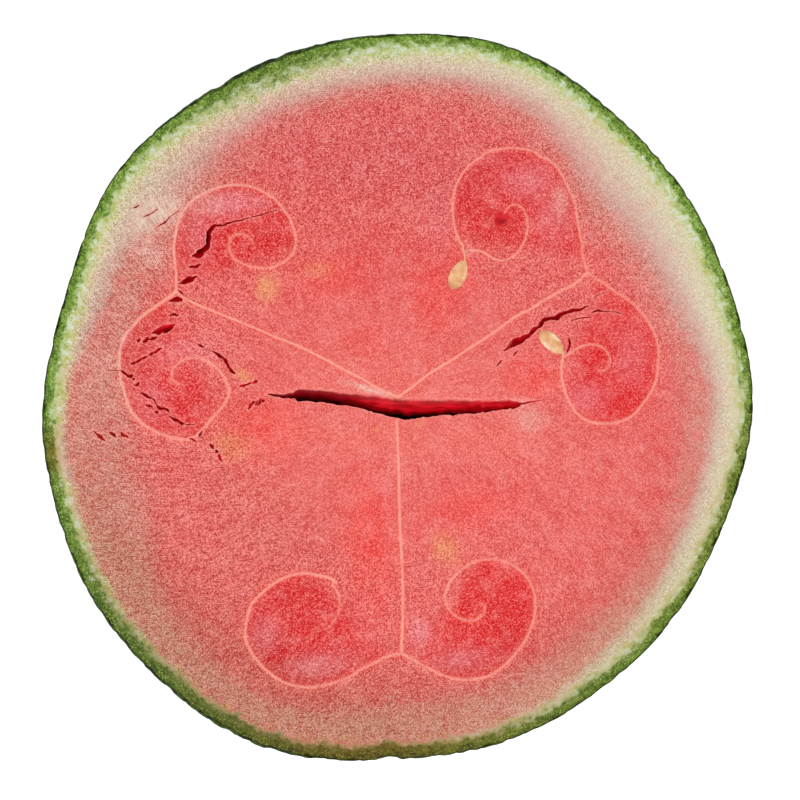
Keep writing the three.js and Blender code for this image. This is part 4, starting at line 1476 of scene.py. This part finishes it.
# Further points of the stalk beyond the tip, and how strong the painted highlight on the shoulders is.
STALKS = {"seed_upper": [(20.9, 43.6), (20.5, 45.4), (20.3, 47.0)],
          "seed_right": [(51.0, 12.5), (50.8, 10.2)]}
SHOULDER_HIGHLIGHTS = {"seed_upper": 0.3, "seed_right": 0.9}


def seed_piece(name, butt, tip, width):
    """A seed from its round end to its tip, with its stalk."""
    butt, tip = np.array(butt), np.array(tip)
    length = float(np.hypot(*(tip - butt)))
    spine = np.vstack([np.linspace(butt, tip, SEED_SLICES), smooth_line([tip, *STALKS[name]], STALK_STEP)[1:]])
    share = np.linspace(0, 1, SEED_SLICES)
    drop = np.sin(math.pi * share**0.92) ** 0.58 * (1 - 0.12 * share)
    body = 0.5 * width * drop / drop.max()
    half = np.full(len(spine), STALK_HALF)
    half[-3:] = (0.28, 0.2, 0.05)
    half[:SEED_SLICES] = np.maximum(body, 0.4 * smooth_step(share, 0.6, 1.0) + 0.02)
    thick = np.minimum(0.5 * SEED_THICKNESS * (half / (0.5 * width)) ** 0.65, half)
    left = side_of(spine)
    turn = np.linspace(0, 2 * math.pi, SEED_CORNERS, endpoint=False)
    rings = []
    for (x, y), side, across, up in zip(spine, left, half, thick):
        edge = np.sign(np.sin(turn)) * np.abs(np.sin(turn)) ** 1.15
        ring = np.array([x, y]) + (across * np.cos(turn))[:, None] * side
        crown = 1 + 0.06 * wobble(np.column_stack([ring, turn]), 1.6, 31)
        middle = SEED_TOP - 0.5 * SEED_THICKNESS + 0.7 * (0.5 * SEED_THICKNESS - up)
        rings.append(np.column_stack([ring, middle + up * edge * crown]))
    ends = [(*spine[end], rings[end][:, 2].mean()) for end in (0, -1)]
    corners, faces = loft(rings, *ends, turned=True)
    piece = new_piece(name, corners, faces, SEED_CREASE)
    ahead = (tip - butt) / length
    across = np.abs((corners[:, :2] - butt) @ np.array([-ahead[1], ahead[0]])) / (0.5 * width)
    along = (corners[:, :2] - butt) @ ahead / length
    light = SHOULDER_HIGHLIGHTS[name]
    soaked = np.maximum(smooth_step(across, 0.55, 1.05), smooth_step(along, 1.0, 0.0) ** 3)
    store(piece, "shoulder", light * smooth_step(across, 0.35, 0.7))
    store(piece, "stalk", smooth_step(along, 0.94, 1.08))
    store(piece, "soaked", soaked * (1.15 - 0.3 * light))
    print(name, "is", round(length, 1), "by", width, "mm")
    return piece


seeds = [seed_piece(name, *outline) for name, outline in SEEDS.items()]

# %% [markdown]
# ## The look of the seeds
# The seeds are soft and half grown, so they are a warm tan ivory, with a painted highlight on their
# shoulders, and darker where juice has soaked into the edge. The stalk is pinkish, like the flesh that it
# grew from. Juice makes them shine.

# %% Seed material
seed_material, start, seed_shader, places = new_material("seed")
mild = clouds(places, 2.6)
thin = clouds(places, 0.55)
soaked = stored(start, "soaked") + (thin - 0.5) * 0.5 + (mild - 0.5) * 0.5
ivory = layered(
    mix(mild.step(0.35, 0.65), colour(216, 150, 96), colour(228, 178, 124)),
    # Painted highlight on the shoulders of the seeds.
    (stored(start, "shoulder") * mild.step(0.3, 0.6), colour(250, 228, 192)),
    (thin.step(0.5, 0.3) * 0.45, colour(194, 138, 84)),
    (soaked.step(0.6, 1.1) * 0.75, colour(190, 112, 72)),
    (stored(start, "stalk") * 0.75, colour(236, 158, 122)),
)
plug(ivory, seed_shader, "Base Color")
plug((0.3 + thin * 0.25).clamp(), seed_shader, "Roughness")
seed_bumps = {"Strength": 0.4, "Distance": 0.2 * MM, "Height": thin}
plug(start.node("ShaderNodeBump", None, seed_bumps), seed_shader, "Normal")
set_all(seed_shader, {"Subsurface Weight": 0.15, "Subsurface Scale": 1.2 * MM})
for seed in seeds:
    seed.data.materials.append(seed_material)
print("the seed material has", len(seed_material.node_tree.nodes), "nodes")

# %% [markdown]
# ## Riding on the imported model
# The pieces are tied to the imported body, so that they move with it, and named as what they stand for. The
# record lists three finishes, and each piece's material is named after its own.

# %% Tie the pieces
for piece, finish in [(flesh, "flesh"), (skin, "skin"), *((seed, "seed") for seed in seeds)]:
    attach(piece, "root")
    print(piece.name, "has the finish", finish)
for piece in (flesh, skin):
    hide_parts("watermelon_half")

# %% [markdown]
# ## Floor and light
# The melon lies on a plain, nearly white floor. A large soft lamp above gives even light on the face, a
# second one low at the front lights the far wall of the heart crack, and the world fills the shadows.

# %% Floor and lamps
FLOOR_SIZE = 4.0
WHITE = (1.0, 1.0, 1.0, 1.0)
floor_mesh = bpy.data.meshes.new("floor")
floor_corners = square(-FLOOR_SIZE / 2, -FLOOR_SIZE / 2, FLOOR_SIZE, FLOOR_SIZE)
floor_mesh.from_pydata([(x, y, 0.0) for x, y in floor_corners], [], [(0, 1, 2, 3)])
floor = bpy.data.objects.new("floor", floor_mesh)
bpy.context.scene.collection.objects.link(floor)
floor_material, start, floor_shader, places = new_material("floor")
set_all(floor_shader, {"Base Color": (0.93, 0.93, 0.93, 1.0), "Roughness": 0.9,
                       "Emission Color": WHITE, "Emission Strength": 0.55})
floor_mesh.materials.append(floor_material)

world = bpy.data.worlds.new("world")
world.use_nodes = True
set_all(world.node_tree.nodes["Background"], {"Color": WHITE, "Strength": 0.62})
bpy.context.scene.world = world


def lamp(name, place, size, power):
    """A square soft lamp that points at the melon."""
    data = bpy.data.lights.new(name, "AREA")
    data.shape = "SQUARE"
    data.size = size
    data.energy = power
    made = bpy.data.objects.new(name, data)
    made.location = place
    made.rotation_euler = (Vector((0, 0, 0.1)) - Vector(place)).to_track_quat("-Z", "Y").to_euler()
    bpy.context.scene.collection.objects.link(made)


lamp("overhead", (0.2, 0.1, 2.5), 1.6, 14)
lamp("front", (-0.35, -1.1, 1.7), 0.8, 15)
bpy.context.scene.view_settings.view_transform = "Standard"
print("lamps placed")
